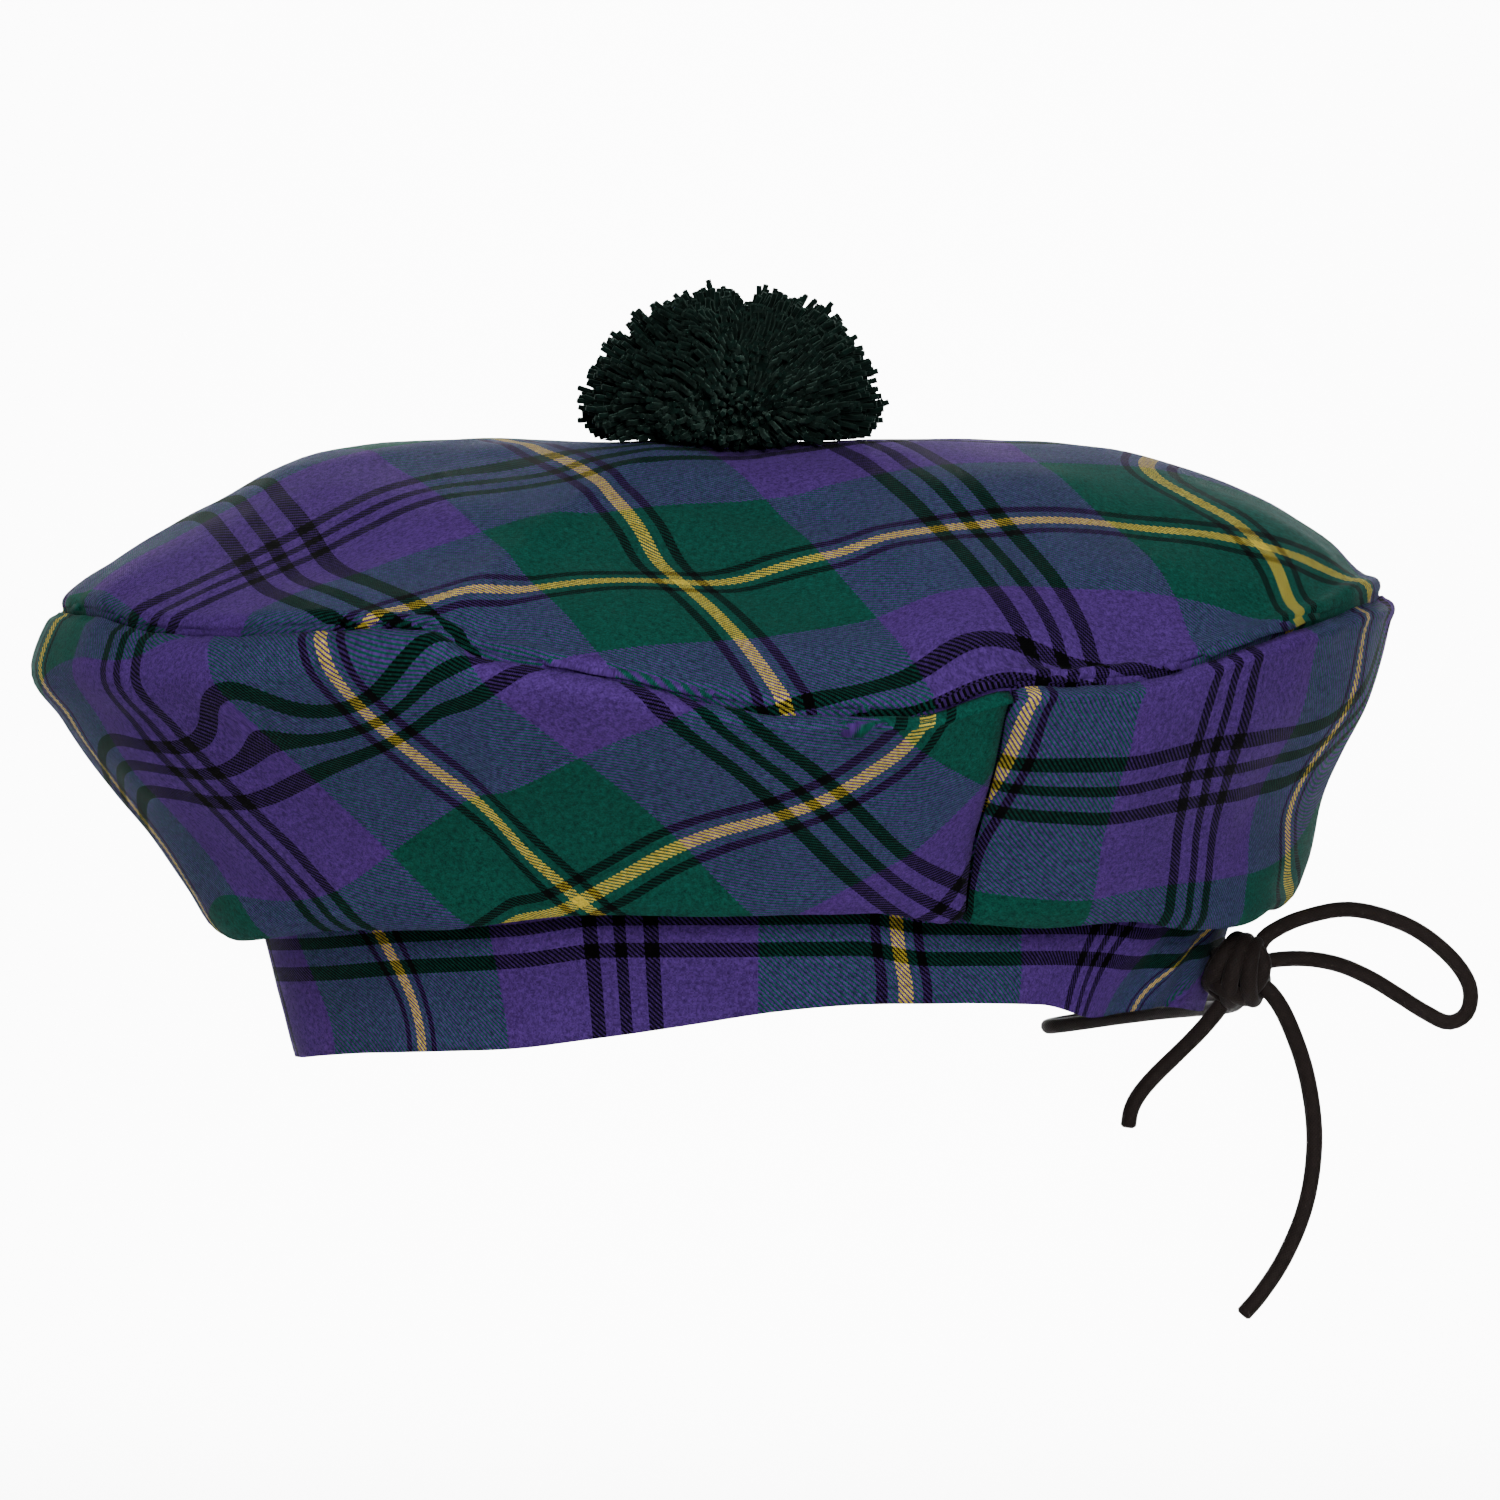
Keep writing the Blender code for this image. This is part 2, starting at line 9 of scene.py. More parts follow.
import bmesh
import bpy
import numpy as np
from mathutils import Matrix, Vector, noise
from mathutils.bvhtree import BVHTree


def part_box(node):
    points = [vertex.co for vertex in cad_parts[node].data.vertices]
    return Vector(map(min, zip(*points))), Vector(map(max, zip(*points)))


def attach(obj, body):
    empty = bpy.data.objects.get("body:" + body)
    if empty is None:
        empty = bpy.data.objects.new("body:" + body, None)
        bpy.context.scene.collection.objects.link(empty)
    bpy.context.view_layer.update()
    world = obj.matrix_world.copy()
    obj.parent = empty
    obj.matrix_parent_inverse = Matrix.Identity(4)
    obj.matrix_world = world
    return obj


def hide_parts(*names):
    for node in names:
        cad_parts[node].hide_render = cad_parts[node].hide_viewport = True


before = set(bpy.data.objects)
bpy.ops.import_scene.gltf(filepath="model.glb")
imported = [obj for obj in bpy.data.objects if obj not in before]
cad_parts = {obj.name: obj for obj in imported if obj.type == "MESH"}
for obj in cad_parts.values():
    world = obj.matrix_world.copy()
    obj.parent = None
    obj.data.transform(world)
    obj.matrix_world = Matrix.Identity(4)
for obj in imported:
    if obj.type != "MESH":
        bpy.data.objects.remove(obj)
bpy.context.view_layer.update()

bl_info = {
    "name": "Tam o' shanter",
    "version": (1, 0, 0),
    "blender": (4, 5, 0),
    "location": "View3D > Sidebar > Tam o' shanter",
    "description": "Builds a tartan tam o' shanter with its pompom and cord bow",
    "category": "Add Mesh",
}

MM = 0.001

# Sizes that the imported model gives
CROWN_LOW, CROWN_HIGH = (Vector(corner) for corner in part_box("crown_top"))
BAND_LOW, BAND_HIGH = (Vector(corner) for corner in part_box("headband"))
KNOT_LOW, KNOT_HIGH = (Vector(corner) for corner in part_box("tie_knot"))
POMPOM_LOW, POMPOM_HIGH = (Vector(corner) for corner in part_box("pompom"))
CROWN_LENGTH = CROWN_HIGH.x - CROWN_LOW.x
CROWN_BREADTH = CROWN_HIGH.y - CROWN_LOW.y
CROWN_FORWARD = -(CROWN_HIGH.x + CROWN_LOW.x) / 2.0
CROWN_TOP = CROWN_HIGH.z
BAND_LENGTH = BAND_HIGH.x - BAND_LOW.x
BAND_BREADTH = BAND_HIGH.y - BAND_LOW.y

# Sizes of the cloth's form, in metres
RIM_HEIGHT = 0.0905        # rim seam above the hem, before its waves
FOLD_LENGTH = 0.2230       # lower fold of the under crown, forehead to back
FOLD_BREADTH = 0.1960      # lower fold, side to side
FOLD_HEIGHT = 0.0300       # lower fold above the hem, before its waves
FOLD_ROUND = 0.0026        # radius of the lower fold
BAND_RISE = 0.0080         # top seam of the band above the lower fold
HEM_LENGTH = 0.1880        # hem of the band, forehead to back
HEM_BREADTH = 0.1560       # hem of the band, side to side
HEM_DROP = 0.0250          # how far the hem hangs below the lower fold at the forehead
SEAM_GAP = 0.0004          # clear gap between pieces that meet
SEAM_LIP = 0.0030          # flat strip on either side of the rim seam
SEAM_ROLL = 0.0016         # how near to a seam its cloth rolls in
RIM_ROLL = 0.0013          # how deep the cloth rolls in at the rim seam
SIDE_ROLL = 0.0011         # the same at the under crown's side seams
SEWN_DOWN = 0.012          # how near to the band the under crown lies still
PUCKER_HEIGHT = 0.00028    # gathers that run up to the rim seam
PUCKER_REACH = 0.007
PUCKER_COUNT = 58.0

# The crown's edge behind the rim seam: how far past the rim, how far in
TURNED_EDGE = ((0.0007, 0.0022), (0.0020, 0.0050))

# Seams of the under crown and the band, in degrees round the hat
SEAM_SIDE = 25.0           # rim end of the under crown's seam on the left side
SEAM_LEAN = -2.2           # how far that seam leans forward on its way down
SEAM_LEAN_SPREAD = 40.0    # how far round the lean of the cloth is felt
SEAM_SCALE = 0.0019        # metres of cloth to a degree at the side seams
BAND_SEAM = 180.0

# Waves of the rim seam: angle, height as a share of RIM_HEIGHT
RIM_WAVES = (
    (-90.0, 1.020), (-70.0, 1.028), (-57.0, 0.996), (-48.0, 0.992), (-36.0, 1.010),
    (-25.0, 1.014), (-20.0, 0.958), (-14.0, 0.932), (-8.0, 0.905), (-1.0, 0.862),
    (5.0, 0.835), (16.0, 0.831), (25.0, 0.888), (37.0, 0.898), (44.0, 0.930),
    (52.0, 0.973), (63.0, 1.016), (76.0, 1.052), (90.0, 1.056), (112.0, 1.030),
    (132.0, 0.992), (150.0, 0.981), (170.0, 0.970), (195.0, 0.975), (214.0, 0.998),
    (236.0, 1.004), (254.0, 1.022),
)

# Waves of the lower fold: angle, height as a share of FOLD_HEIGHT
FOLD_WAVES = (
    (-90.0, 0.82), (-64.0, 0.87), (-45.0, 0.96), (-28.0, 1.03), (-17.0, 1.11), (0.0, 1.12),
    (13.0, 1.12), (21.0, 1.04), (44.0, 1.01), (57.0, 0.95), (66.0, 0.97), (80.0, 1.03),
    (100.0, 1.03), (125.0, 1.00), (150.0, 1.05), (180.0, 1.08), (210.0, 1.02), (240.0, 0.92),
)

# Height of the hem above its lowest point, at the forehead: angle, share of HEM_DROP
HEM_WAVES = (
    (-90.0, 0.00), (-54.0, 0.13), (-31.0, 0.21), (-18.0, 0.32), (-6.0, 0.44), (3.0, 0.53),
    (15.0, 0.59), (39.0, 0.55), (47.0, 0.44), (62.0, 0.48), (80.0, 0.40), (100.0, 0.38),
    (125.0, 0.42), (150.0, 0.44), (180.0, 0.42), (205.0, 0.32), (230.0, 0.18), (250.0, 0.05),
)

# Sections of the crown from its middle to the rim: share of the way out, then the share of
# the drop from top to rim on the left side, at the back, on the right side, at the forehead
CROWN_SECTIONS = (
    (0.00, 0.000, 0.000, 0.000, 0.000),
    (0.14, 0.030, 0.002, 0.016, 0.002),
    (0.28, 0.125, 0.006, 0.060, 0.004),
    (0.42, 0.270, 0.016, 0.140, 0.010),
    (0.54, 0.400, 0.055, 0.240, 0.035),
    (0.66, 0.545, 0.150, 0.370, 0.150),
    (0.76, 0.655, 0.285, 0.490, 0.360),
    (0.85, 0.755, 0.460, 0.620, 0.555),
    (0.92, 0.840, 0.680, 0.755, 0.715),
    (0.97, 0.915, 0.890, 0.890, 0.850),
)

# Sections of the under crown from the rim to the lower fold: place, then for the left side,
# the back, the right side and the forehead the share of the fall and of the way in
PANEL_SECTIONS = (
    (0.12, 0.11, -0.040, 0.09, -0.040, 0.13, -0.050, 0.17, -0.165),
    (0.30, 0.30, 0.150, 0.31, 0.110, 0.31, 0.130, 0.34, 0.040),
    (0.48, 0.50, 0.400, 0.51, 0.430, 0.50, 0.400, 0.52, 0.320),
    (0.66, 0.69, 0.640, 0.67, 0.675, 0.68, 0.640, 0.70, 0.620),
    (0.84, 0.86, 0.860, 0.87, 0.835, 0.86, 0.850, 0.87, 0.850),
)

# Dents of the crown: angle, share of the way out, half width in degrees, half length as a
# share of the way out, depth in millimetres
CROWN_DENTS = (
    (-22.0, 0.97, 5.0, 0.060, 2.8),
    (-40.0, 0.82, 16.0, 0.120, 1.3),
    (33.0, 0.97, 5.0, 0.050, 2.3),
    (56.0, 0.72, 18.0, 0.160, 1.3),
    (150.0, 0.84, 14.0, 0.110, 2.0),
    (212.0, 0.78, 20.0, 0.150, 1.8),
)

# Dents of the under crown: angle, place, half width in degrees, half length in places,
# depth in millimetres, below zero where the cloth stands out
PANEL_DENTS = (
    (-50.0, 0.40, 12.0, 0.28, 2.0),
    (-28.0, 0.34, 9.0, 0.24, -2.0),
    (-8.0, 0.62, 12.0, 0.26, 1.6),
    (12.0, 0.30, 9.0, 0.17, 2.4),
    (23.0, 0.60, 5.0, 0.34, 2.7),
    (40.0, 0.46, 10.0, 0.26, -1.8),
    (63.0, 0.52, 9.0, 0.28, 2.0),
    (128.0, 0.45, 11.0, 0.26, 2.2),
    (165.0, 0.38, 13.0, 0.26, -1.8),
    (200.0, 0.55, 9.0, 0.30, 2.4),
    (232.0, 0.42, 12.0, 0.26, -1.6),
)

# Turn of the cloth round the lower fold, in degrees below the horizontal
FOLD_TURN = (-38.0, -82.0, -126.0)

# Folds of the band by the knot: angle at the top seam, angle at the hem, half width in
# degrees, how far it stands out in millimetres
BAND_FOLDS = (
    (58.0, 44.0, 3.4, 0.9), (64.0, 52.0, 2.6, -1.0), (68.5, 59.0, 2.6, 1.1),
    (72.5, 66.0, 2.2, -1.0), (98.0, 92.0, 3.0, -0.9), (104.0, 101.0, 3.2, 1.1),
    (111.0, 110.0, 3.0, -0.9), (119.0, 119.0, 4.0, 0.8),
)
FOLD_START = 0.35     # share of their height that they have at the top seam

# Routes of the cord in millimetres, from the knot outwards
LOOP_BACK_ROUTE = (
    (106.7, -20.8, 25.9), (113.6, -22.6, 29.3), (123.6, -24.0, 31.0), (134.8, -24.2, 27.8),
    (143.0, -23.4, 22.0), (147.6, -22.4, 15.6), (147.4, -21.4, 9.9), (143.6, -20.6, 7.6),
    (138.6, -20.0, 9.8), (133.2, -19.6, 13.2), (127.4, -19.2, 16.7), (121.1, -19.0, 19.4),
    (114.5, -18.8, 20.6), (107.9, -19.0, 20.4),
)
LOOP_SIDE_ROUTE = (
    (100.9, -14.2, 14.4), (101.0, -3.0, 11.0), (98.9, 12.0, 9.0), (93.6, 28.0, 7.6),
    (85.6, 42.4, 6.0), (76.8, 53.6, 4.2), (68.8, 61.6, 2.6), (63.8, 68.4, 1.6),
    (65.0, 75.2, 1.6), (72.0, 75.4, 2.8), (81.0, 68.6, 4.6), (89.8, 58.2, 6.4),
    (98.0, 44.0, 8.6), (104.2, 25.6, 11.2), (106.6, 6.4, 14.4), (104.9, -13.5, 18.3),
)
TAIL_LONG_ROUTE = (
    (106.9, -20.0, 13.8), (110.4, -20.2, 8.2), (114.1, -20.6, -2.1), (115.9, -21.2, -13.3),
    (115.5, -22.0, -23.2), (113.4, -22.8, -32.3), (109.4, -23.8, -41.2), (104.8, -24.6, -48.1),
    (101.4, -25.2, -52.0),
)
TAIL_SHORT_ROUTE = (
    (96.4, -21.2, 10.6), (92.3, -22.4, 5.8), (87.6, -23.6, 1.2), (83.2, -24.6, -3.0),
    (79.9, -25.4, -6.8), (78.2, -26.0, -10.0), (77.6, -26.6, -13.2),
)

# Cords of the bow: piece, node that it stands for, route, far end, lay, flatness, twist in radians
BOW_CORDS = (
    ("bow_loop_back", "tie_loop_back", LOOP_BACK_ROUTE, "object", "loose", 0.04, 1.0),
    ("bow_loop_side", "tie_loop_side", LOOP_SIDE_ROUTE, "object", "loose", 0.04, 2.0),
    ("bow_tail_long", "tie_tail_long", TAIL_LONG_ROUTE, "bare", "hanging", 0.10, 0.6),
    ("bow_tail_short", "tie_tail_short", TAIL_SHORT_ROUTE, "bare", "hanging", 0.08, 0.8),
)

# Turns of cord in the knot: the axis that it goes round (0 away from the band, 1 along it, 2 up),
# tilt in degrees, place along that axis in cord radii, size as a share of the knot
KNOT_TURNS = (
    (0, 14.0, -2.3, 0.86), (0, -3.0, -0.2, 1.00), (0, -14.0, 1.9, 0.88),
    (2, 10.0, -2.6, 0.74), (2, -22.0, 2.2, 0.80), (1, 35.0, -1.2, 0.86),
)
KNOT_ANGLE = 76.0                  # where the knot lies round the hat, in degrees
KNOT_HALF = (0.49, 0.52, 0.51)     # half sizes of the knot as shares of its box
KNOT_CORE = 0.66                   # its core as a share of those
KNOT_TUCK = 4.0                    # how far the cords' ends go into it, in millimetres
KNOT_SQUASH = 0.10                 # how flat its turns are pressed
KNOT_STEPS = 48
KNOT_SIDES = 14
END_RING = (0.72, 0.28)            # ring that rounds a cord's cut end: size, reach in cord radii
END_REACH = 0.34                   # reach of the end's middle

# Shape of the pompom
POMPOM_WAIST = 0.20                # share of its height where it is widest
POMPOM_TUCK = -0.85                # how soon it narrows below that
POMPOM_FUZZ = 0.0006               # how far its strands may pass the solid's box, in metres
POMPOM_LUMPS = ((3.2, 0.05), (11.0, 0.08))     # lumps to its size, their height as a share
PARTING_PLACE = 0.10               # the parting on its top, in shares of its half width
PARTING_WIDTH = 0.050
PARTING_DEPTH = 0.16
POMPOM_CORE = 0.80                 # the dark core inside the strands
POMPOM_SAG = 0.001                 # strands this near to its foot rest on the crown, in metres
STRAND_TRIM = (0.85, 1.03)         # how long its strands are cut

# Steps of cloth in each span between two sections, and the rows that this gives the two edges
CROWN_STEPS = (6, 6, 6, 6, 5, 5, 5, 5, 5, 4, 4, 3, 3)
PANEL_STEPS = (4, 5, 7, 7, 7, 7, 4, 3, 3, 4, 2)
BAND_ROWS = 24
RIM_ROW = sum(CROWN_STEPS[:len(CROWN_SECTIONS) + 1])
FOLD_ROW = sum(PANEL_STEPS[:len(PANEL_SECTIONS) + 2])

# Soft lumps of each piece's cloth: size of a lump, height, seed
CROWN_LUMPS = ((0.030, 0.0011, 1), (0.012, 0.00035, 2))
PANEL_LUMPS = ((0.028, 0.0012, 4), (0.012, 0.00035, 5))
BAND_LUMPS = ((0.024, 0.0009, 6), (0.010, 0.0003, 7))

# How the cloth of each piece is cut: angle and way down the piece in millimetres of a chosen
# spot, turn of the tartan's weft there in degrees above the level, stretch of the cloth, then
# the spot's place on the tartan in setts along the weft and along the warp
CROWN_CUT = (-5.0, 95.0, 27.4, 1.150, 0.0, 0.0)
FRONT_CUT = (-18.9, 67.0, 36.5, 1.000, -0.04, 0.02)
BACK_CUT = (29.0, 26.0, 0.0, 1.000, 0.04, 0.5)
BAND_CUT = (16.5, 10.0, 0.0, 0.970, 0.0, 0.5)

# Pulls of the cloth: angle, way down the piece in millimetres, half width in degrees, half
# length in millimetres, then how far the tartan is drawn along its weft and along its warp, in
# millimetres
CROWN_PULLS = (
    (-5.0, 95.0, 12.0, 18.0, 3.0, 6.0),
    (-50.0, 95.0, 22.0, 35.0, 0.0, 10.0),
    (-43.0, 125.0, 14.0, 28.0, 5.5, 0.0),
    (-79.0, 105.0, 12.0, 30.0, -5.0, 0.0),
    (72.0, 95.0, 16.0, 26.0, 13.0, 0.0),
    (64.0, 118.0, 14.0, 30.0, 0.0, 8.0),
    (24.0, 128.0, 10.0, 16.0, 0.0, -9.0),
    (-54.0, 130.0, 12.0, 22.0, 0.0, 9.0),
    (-35.0, 60.0, 14.0, 18.0, 0.0, 7.0),
)
FRONT_PULLS = (
    (2.0, 10.0, 20.0, 40.0, -12.5, 0.0),
    (17.0, 15.0, 16.0, 30.0, 0.0, 14.0),
    (-60.0, 28.0, 12.0, 25.0, 5.0, 0.0),
    (-77.0, 8.0, 10.0, 20.0, -8.0, 0.0),
    (-70.0, 35.0, 18.0, 60.0, 0.0, -15.0),
    (-31.0, 14.0, 9.0, 14.0, 0.0, 5.0),
    (-46.0, 10.0, 8.0, 18.0, 0.0, -14.0),
)
BACK_PULLS = (
    (72.0, 48.0, 14.0, 22.0, 18.0, 0.0),
    (69.0, 66.0, 8.0, 10.0, 8.0, 0.0),
    (40.0, 8.0, 30.0, 11.0, 0.0, -2.0),
    (40.0, 44.0, 30.0, 12.0, 0.0, 2.5),
    (47.0, 25.0, 10.0, 18.0, 6.0, 0.0),
    (75.0, 25.0, 22.0, 60.0, 0.0, 22.0),
    (22.0, 55.0, 14.0, 35.0, 8.0, 0.0),
)
BAND_PULLS = (
    (-52.0, 28.0, 14.0, 14.0, -9.0, 0.0),
    (-56.0, 2.0, 12.0, 8.0, 3.0, 0.0),
    (22.0, 26.0, 10.0, 12.0, -5.0, 0.0),
    (60.0, 30.0, 14.0, 15.0, 39.7, 0.0),
    (90.0, 26.0, 30.0, 18.0, 50.9, 0.0),
    (38.0, 27.0, 10.0, 14.0, -7.0, 0.0),
    (126.0, 31.0, 30.0, 20.0, 27.0, 0.0),
    (162.0, 31.0, 30.0, 20.0, 10.0, 0.0),
)

# Stripes of the tartan from the middle of its yellow line: share of half a sett, colour
STRIPES = (
    (0.0000, "yellow"), (0.0262, "green"), (0.0615, "black"), (0.0912, "green"),
    (0.4935, "violet"), (0.8585, "black"), (0.9106, "violet"), (0.9739, "black"),
)
BLACK_COVER = 0.50             # light that a black thread leaves to the thread it crosses

# Shade of the cloth: how much it varies, and its least where that isn't nothing
THREAD_SHADE = 1.40
CROSSING_SHADE = (0.60, 0.05)
WEAR_SHADE = (0.30, 0.86)

# Finish of each material: roughness, specular level, sheen, roughness and colour of the sheen
FINISHES = {
    "tartan_cloth": (0.95, 0.06, 0.02, 0.40, (0.70, 0.75, 0.85)),
    "pompom_yarn": (0.95, 0.10, 0.12, 0.50, (0.45, 0.80, 0.65)),
    "braided_cord": (0.72, 0.18, 0.04, 0.50, (1.0, 1.0, 1.0)),
    "studio_white": (0.90, 0.50, 0.00, 0.50, (1.0, 1.0, 1.0)),
}
BRAID_PITCH = 0.0016           # cord between two crossings of its braid, in metres
BRAID_STRANDS = 8.0

# Grain of the materials: scale and detail of its noise
THREAD_GRAIN = (900.0, 3.0)
WEAR_GRAIN = (60.0, 4.0)
STRAND_GRAIN = (420.0, 4.0)
FIBRE_GRAIN = (700.0, 2.0)
WALL_GRAIN = (3.0, 2.0)

# Relief of the materials: strength, height in metres
CLOTH_RELIEF = (0.35, 0.00018)
STRAND_RELIEF = (0.6, 0.0003)
BRAID_RELIEF = (0.5, 0.00015)

# Stops of the pompom's wool: place on the grain, lightness against the set colour
# Painted light as well as random tone: the grain also raises the bump, so the low stop paints shade
# in its hollows and the high stop paints highlight on raised fibres
STRAND_TONE_AND_PAINTED_LIGHT = ((0.30, 0.35), (0.78, 2.1))

# Lamps: name, place, the spot that it lights where that isn't the hat, diameter, watts, spread
# in degrees
LAMPS = (
    ("key_light", (-0.8, -1.7, 2.1), None, 1.0, 5.4, 70.0),
    ("fill_light", (0.4, -2.3, 0.66), None, 0.6, 3.9, 60.0),
    ("backdrop_light", (0.0, 2.3, 1.9), (0.0, 3.6, 0.1), 2.0, 560.0, 150.0),
)
SKY_STRENGTH = 0.12
WALL_PALE = (0.86, 0.88)       # least and most of the studio's white
FLOOR_WIDTH = 10.0
FLOOR_FRONT = -4.0
WALL_FOOT = 3.0                # where the floor starts to bend up into the wall
WALL_BEND = 1.0
WALL_HEIGHT = 5.0


def length_setting(name, description, default, least, most):
    return bpy.props.FloatProperty(
        name=name, description=description, default=default, min=least, max=most,
        subtype="DISTANCE", unit="LENGTH")


def colour_setting(name, description, default):
    return bpy.props.FloatVectorProperty(
        name=name, description=description, default=default, min=0.0, max=1.0, size=3,
        subtype="COLOR")


class HatClothSettings(bpy.types.PropertyGroup):
    sett: length_setting("Sett", "Width of one repeat of the tartan", 0.1130, 0.02, 0.5)
    thread: length_setting("Thread", "Distance between two threads", 0.000285, 0.0001, 0.005)
    wall: length_setting("Cloth", "Thickness of the cloth wall", 0.0016, 0.0005, 0.005)
    segments: bpy.props.IntProperty(
        name="Segments", description="Columns of cloth round the hat", default=300, min=72, max=720)
    violet: colour_setting("Violet", "Violet blue wool", (0.063, 0.026, 0.160))
    green: colour_setting("Green", "Dark green wool", (0.003, 0.062, 0.045))
    black: colour_setting("Black", "Black wool", (0.002, 0.002, 0.003))
    yellow: colour_setting("Yellow", "Yellow wool", (0.600, 0.460, 0.045))


class HatPompomSettings(bpy.types.PropertyGroup):
    strand_radius: length_setting("Strand radius", "Radius of a strand", 0.00062, 0.0002, 0.003)
    spacing: length_setting("Spacing", "Distance between strands' cut ends", 0.00165, 0.0005, 0.01)
    wander: length_setting("Wander", "How far a strand's end strays sideways", 0.0027, 0.0, 0.02)
    wool: colour_setting("Wool", "Dark green pompom wool", (0.0019, 0.0078, 0.0058))


class HatCordSettings(bpy.types.PropertyGroup):
    diameter: length_setting("Diameter", "Diameter of the cord", 0.0032, 0.001, 0.01)
    colour: colour_setting("Colour", "Brown black of the cord", (0.0165, 0.0105, 0.0090))


class HatStageSettings(bpy.types.PropertyGroup):
    distance: length_setting("Distance", "From the camera to the hat's middle", 2.5, 0.5, 20.0)
    elevation: bpy.props.FloatProperty(
        name="Elevation", description="How far the camera looks down",
        default=math.radians(2.0), min=-1.5, max=1.5, subtype="ANGLE", unit="ROTATION")
    frame_width: length_setting("Width", "Width of the picture at the hat", 0.3106, 0.05, 5.0)
    aim_height: length_setting("Aim", "Picture's middle above the hem", 0.0629, -1.0, 1.0)
    floor_drop: length_setting("Floor", "Floor below the hem of the held up hat", 0.30, 0.06, 3.0)


def bend(start, end, leaving, arriving, span, t):
    """A place on the smooth curve from a start to an end, with its slope at each of them."""
    near = start * (1.0 + 2.0 * t) + leaving * span * t
    far = end * (3.0 - 2.0 * t) - arriving * span * (1.0 - t)
    return near * (1.0 - t) ** 2 + far * t * t


def smooth(rows, places, column=1, around=False):
    """Reads a column of a table on a smooth curve that never overshoots the rows."""
    at = np.array([row[0] for row in rows])
    values = np.array([row[column] for row in rows])
    places = np.asarray(places, dtype=float)
    if around:
        places = (places - at[0]) % 360.0 + at[0]
        at = np.concatenate(([at[-1] - 360.0], at, [at[0] + 360.0, at[1] + 360.0]))
        values = np.concatenate(([values[-1]], values, [values[0], values[1]]))
    places = np.clip(places, at[0], at[-1])
    spans = np.diff(at)
    steep = np.diff(values) / spans
    slopes = np.concatenate(([steep[0]], np.zeros(len(at) - 2), [steep[-1]]))
    same_way = steep[:-1] * steep[1:] > 0.0
    total = np.where(same_way, steep[:-1] + steep[1:], 1.0)
    slopes[1:-1] = np.where(same_way, 2.0 * steep[:-1] * steep[1:] / total, 0.0)
    first = np.clip(np.searchsorted(at, places, "right") - 1, 0, len(spans) - 1)
    t = (places - at[first]) / spans[first]
    return bend(values[first], values[first + 1], slopes[first], slopes[first + 1], spans[first], t)


def turned_from(angles, angle):
    """How far angles lie from one angle, from -180 to 180 degrees."""
    return (angles - angle + 180.0) % 360.0 - 180.0


def between_quarters(angles, values):
    """Mixes values of the left side, back, right side and forehead at each angle."""
    quarter = (angles % 360.0) / 90.0
    first = np.floor(quarter).astype(int)
    weight = np.sin((quarter - first) * math.pi / 2.0) ** 2
    values = np.asarray(values)
    return values[first % 4] * (1.0 - weight) + values[(first + 1) % 4] * weight


def on_ring(angles, length, breadth, forward, heights):
    """Points on an oval ring round the hat."""
    turn = np.radians(angles)
    across = length / 2.0 * np.sin(turn) - forward
    return np.stack([across, -breadth / 2.0 * np.cos(turn), heights + 0.0 * turn], axis=-1)


def outwards(angles):
    """The level directions away from the hat's middle."""
    turn = np.radians(angles)
    return np.stack([np.sin(turn), -np.cos(turn), 0.0 * turn], axis=-1)


def bumps(rows, angles, places, column=4):
    """The sum of a table's soft bumps at some places of the cloth."""
    total = np.zeros(np.broadcast(angles, places).shape)
    for row in rows:
        around = turned_from(angles, row[0]) / row[2]
        down = (places - row[1]) / row[3]
        total += row[column] * MM * np.exp(-around ** 2 - down ** 2)
    return total


def unit(vectors):
    return vectors / np.linalg.norm(vectors, axis=-1, keepdims=True)


def rim_points(angles):
    heights = RIM_HEIGHT * smooth(RIM_WAVES, angles, around=True)
    return on_ring(angles, CROWN_LENGTH, CROWN_BREADTH, CROWN_FORWARD, heights)


def fold_points(angles):
    heights = FOLD_HEIGHT * smooth(FOLD_WAVES, angles, around=True)
    return on_ring(angles, FOLD_LENGTH, FOLD_BREADTH, 0.0, heights)


def crown_row(angles, section):
    """One section of the crown's outer face."""
    rim = rim_points(angles)
    middle = np.array([-CROWN_FORWARD, 0.0, CROWN_TOP])
    points = middle + (rim - middle) * section[0]
    drop = between_quarters(angles, section[1:])
    points[:, 2] = CROWN_TOP + (rim[:, 2] - CROWN_TOP) * drop
    points[:, 2] -= bumps(CROWN_DENTS, angles, section[0])
    return points


def panel_row(angles, section):
    """One section of the under crown's outer face."""
    rim, fold = rim_points(angles), fold_points(angles)
    way_in = between_quarters(angles, section[2::2])[:, None]
    points = rim + (fold - rim) * way_in
    points[:, 2] = rim[:, 2] + (fold[:, 2] - rim[:, 2]) * between_quarters(angles, section[1::2])
    return points - outwards(angles) * bumps(PANEL_DENTS, angles, section[0])[:, None]


def leaned(angles, place):
    """The angles at a place of the under crown, which leans with the seam on the left side."""
    away = turned_from(angles, SEAM_SIDE)
    return angles + SEAM_LEAN * place * np.exp(-(away / SEAM_LEAN_SPREAD) ** 2)


def band_top(angles):
    heights = fold_points(angles)[:, 2] + BAND_RISE
    return on_ring(angles, BAND_LENGTH, BAND_BREADTH, 0.0, heights)


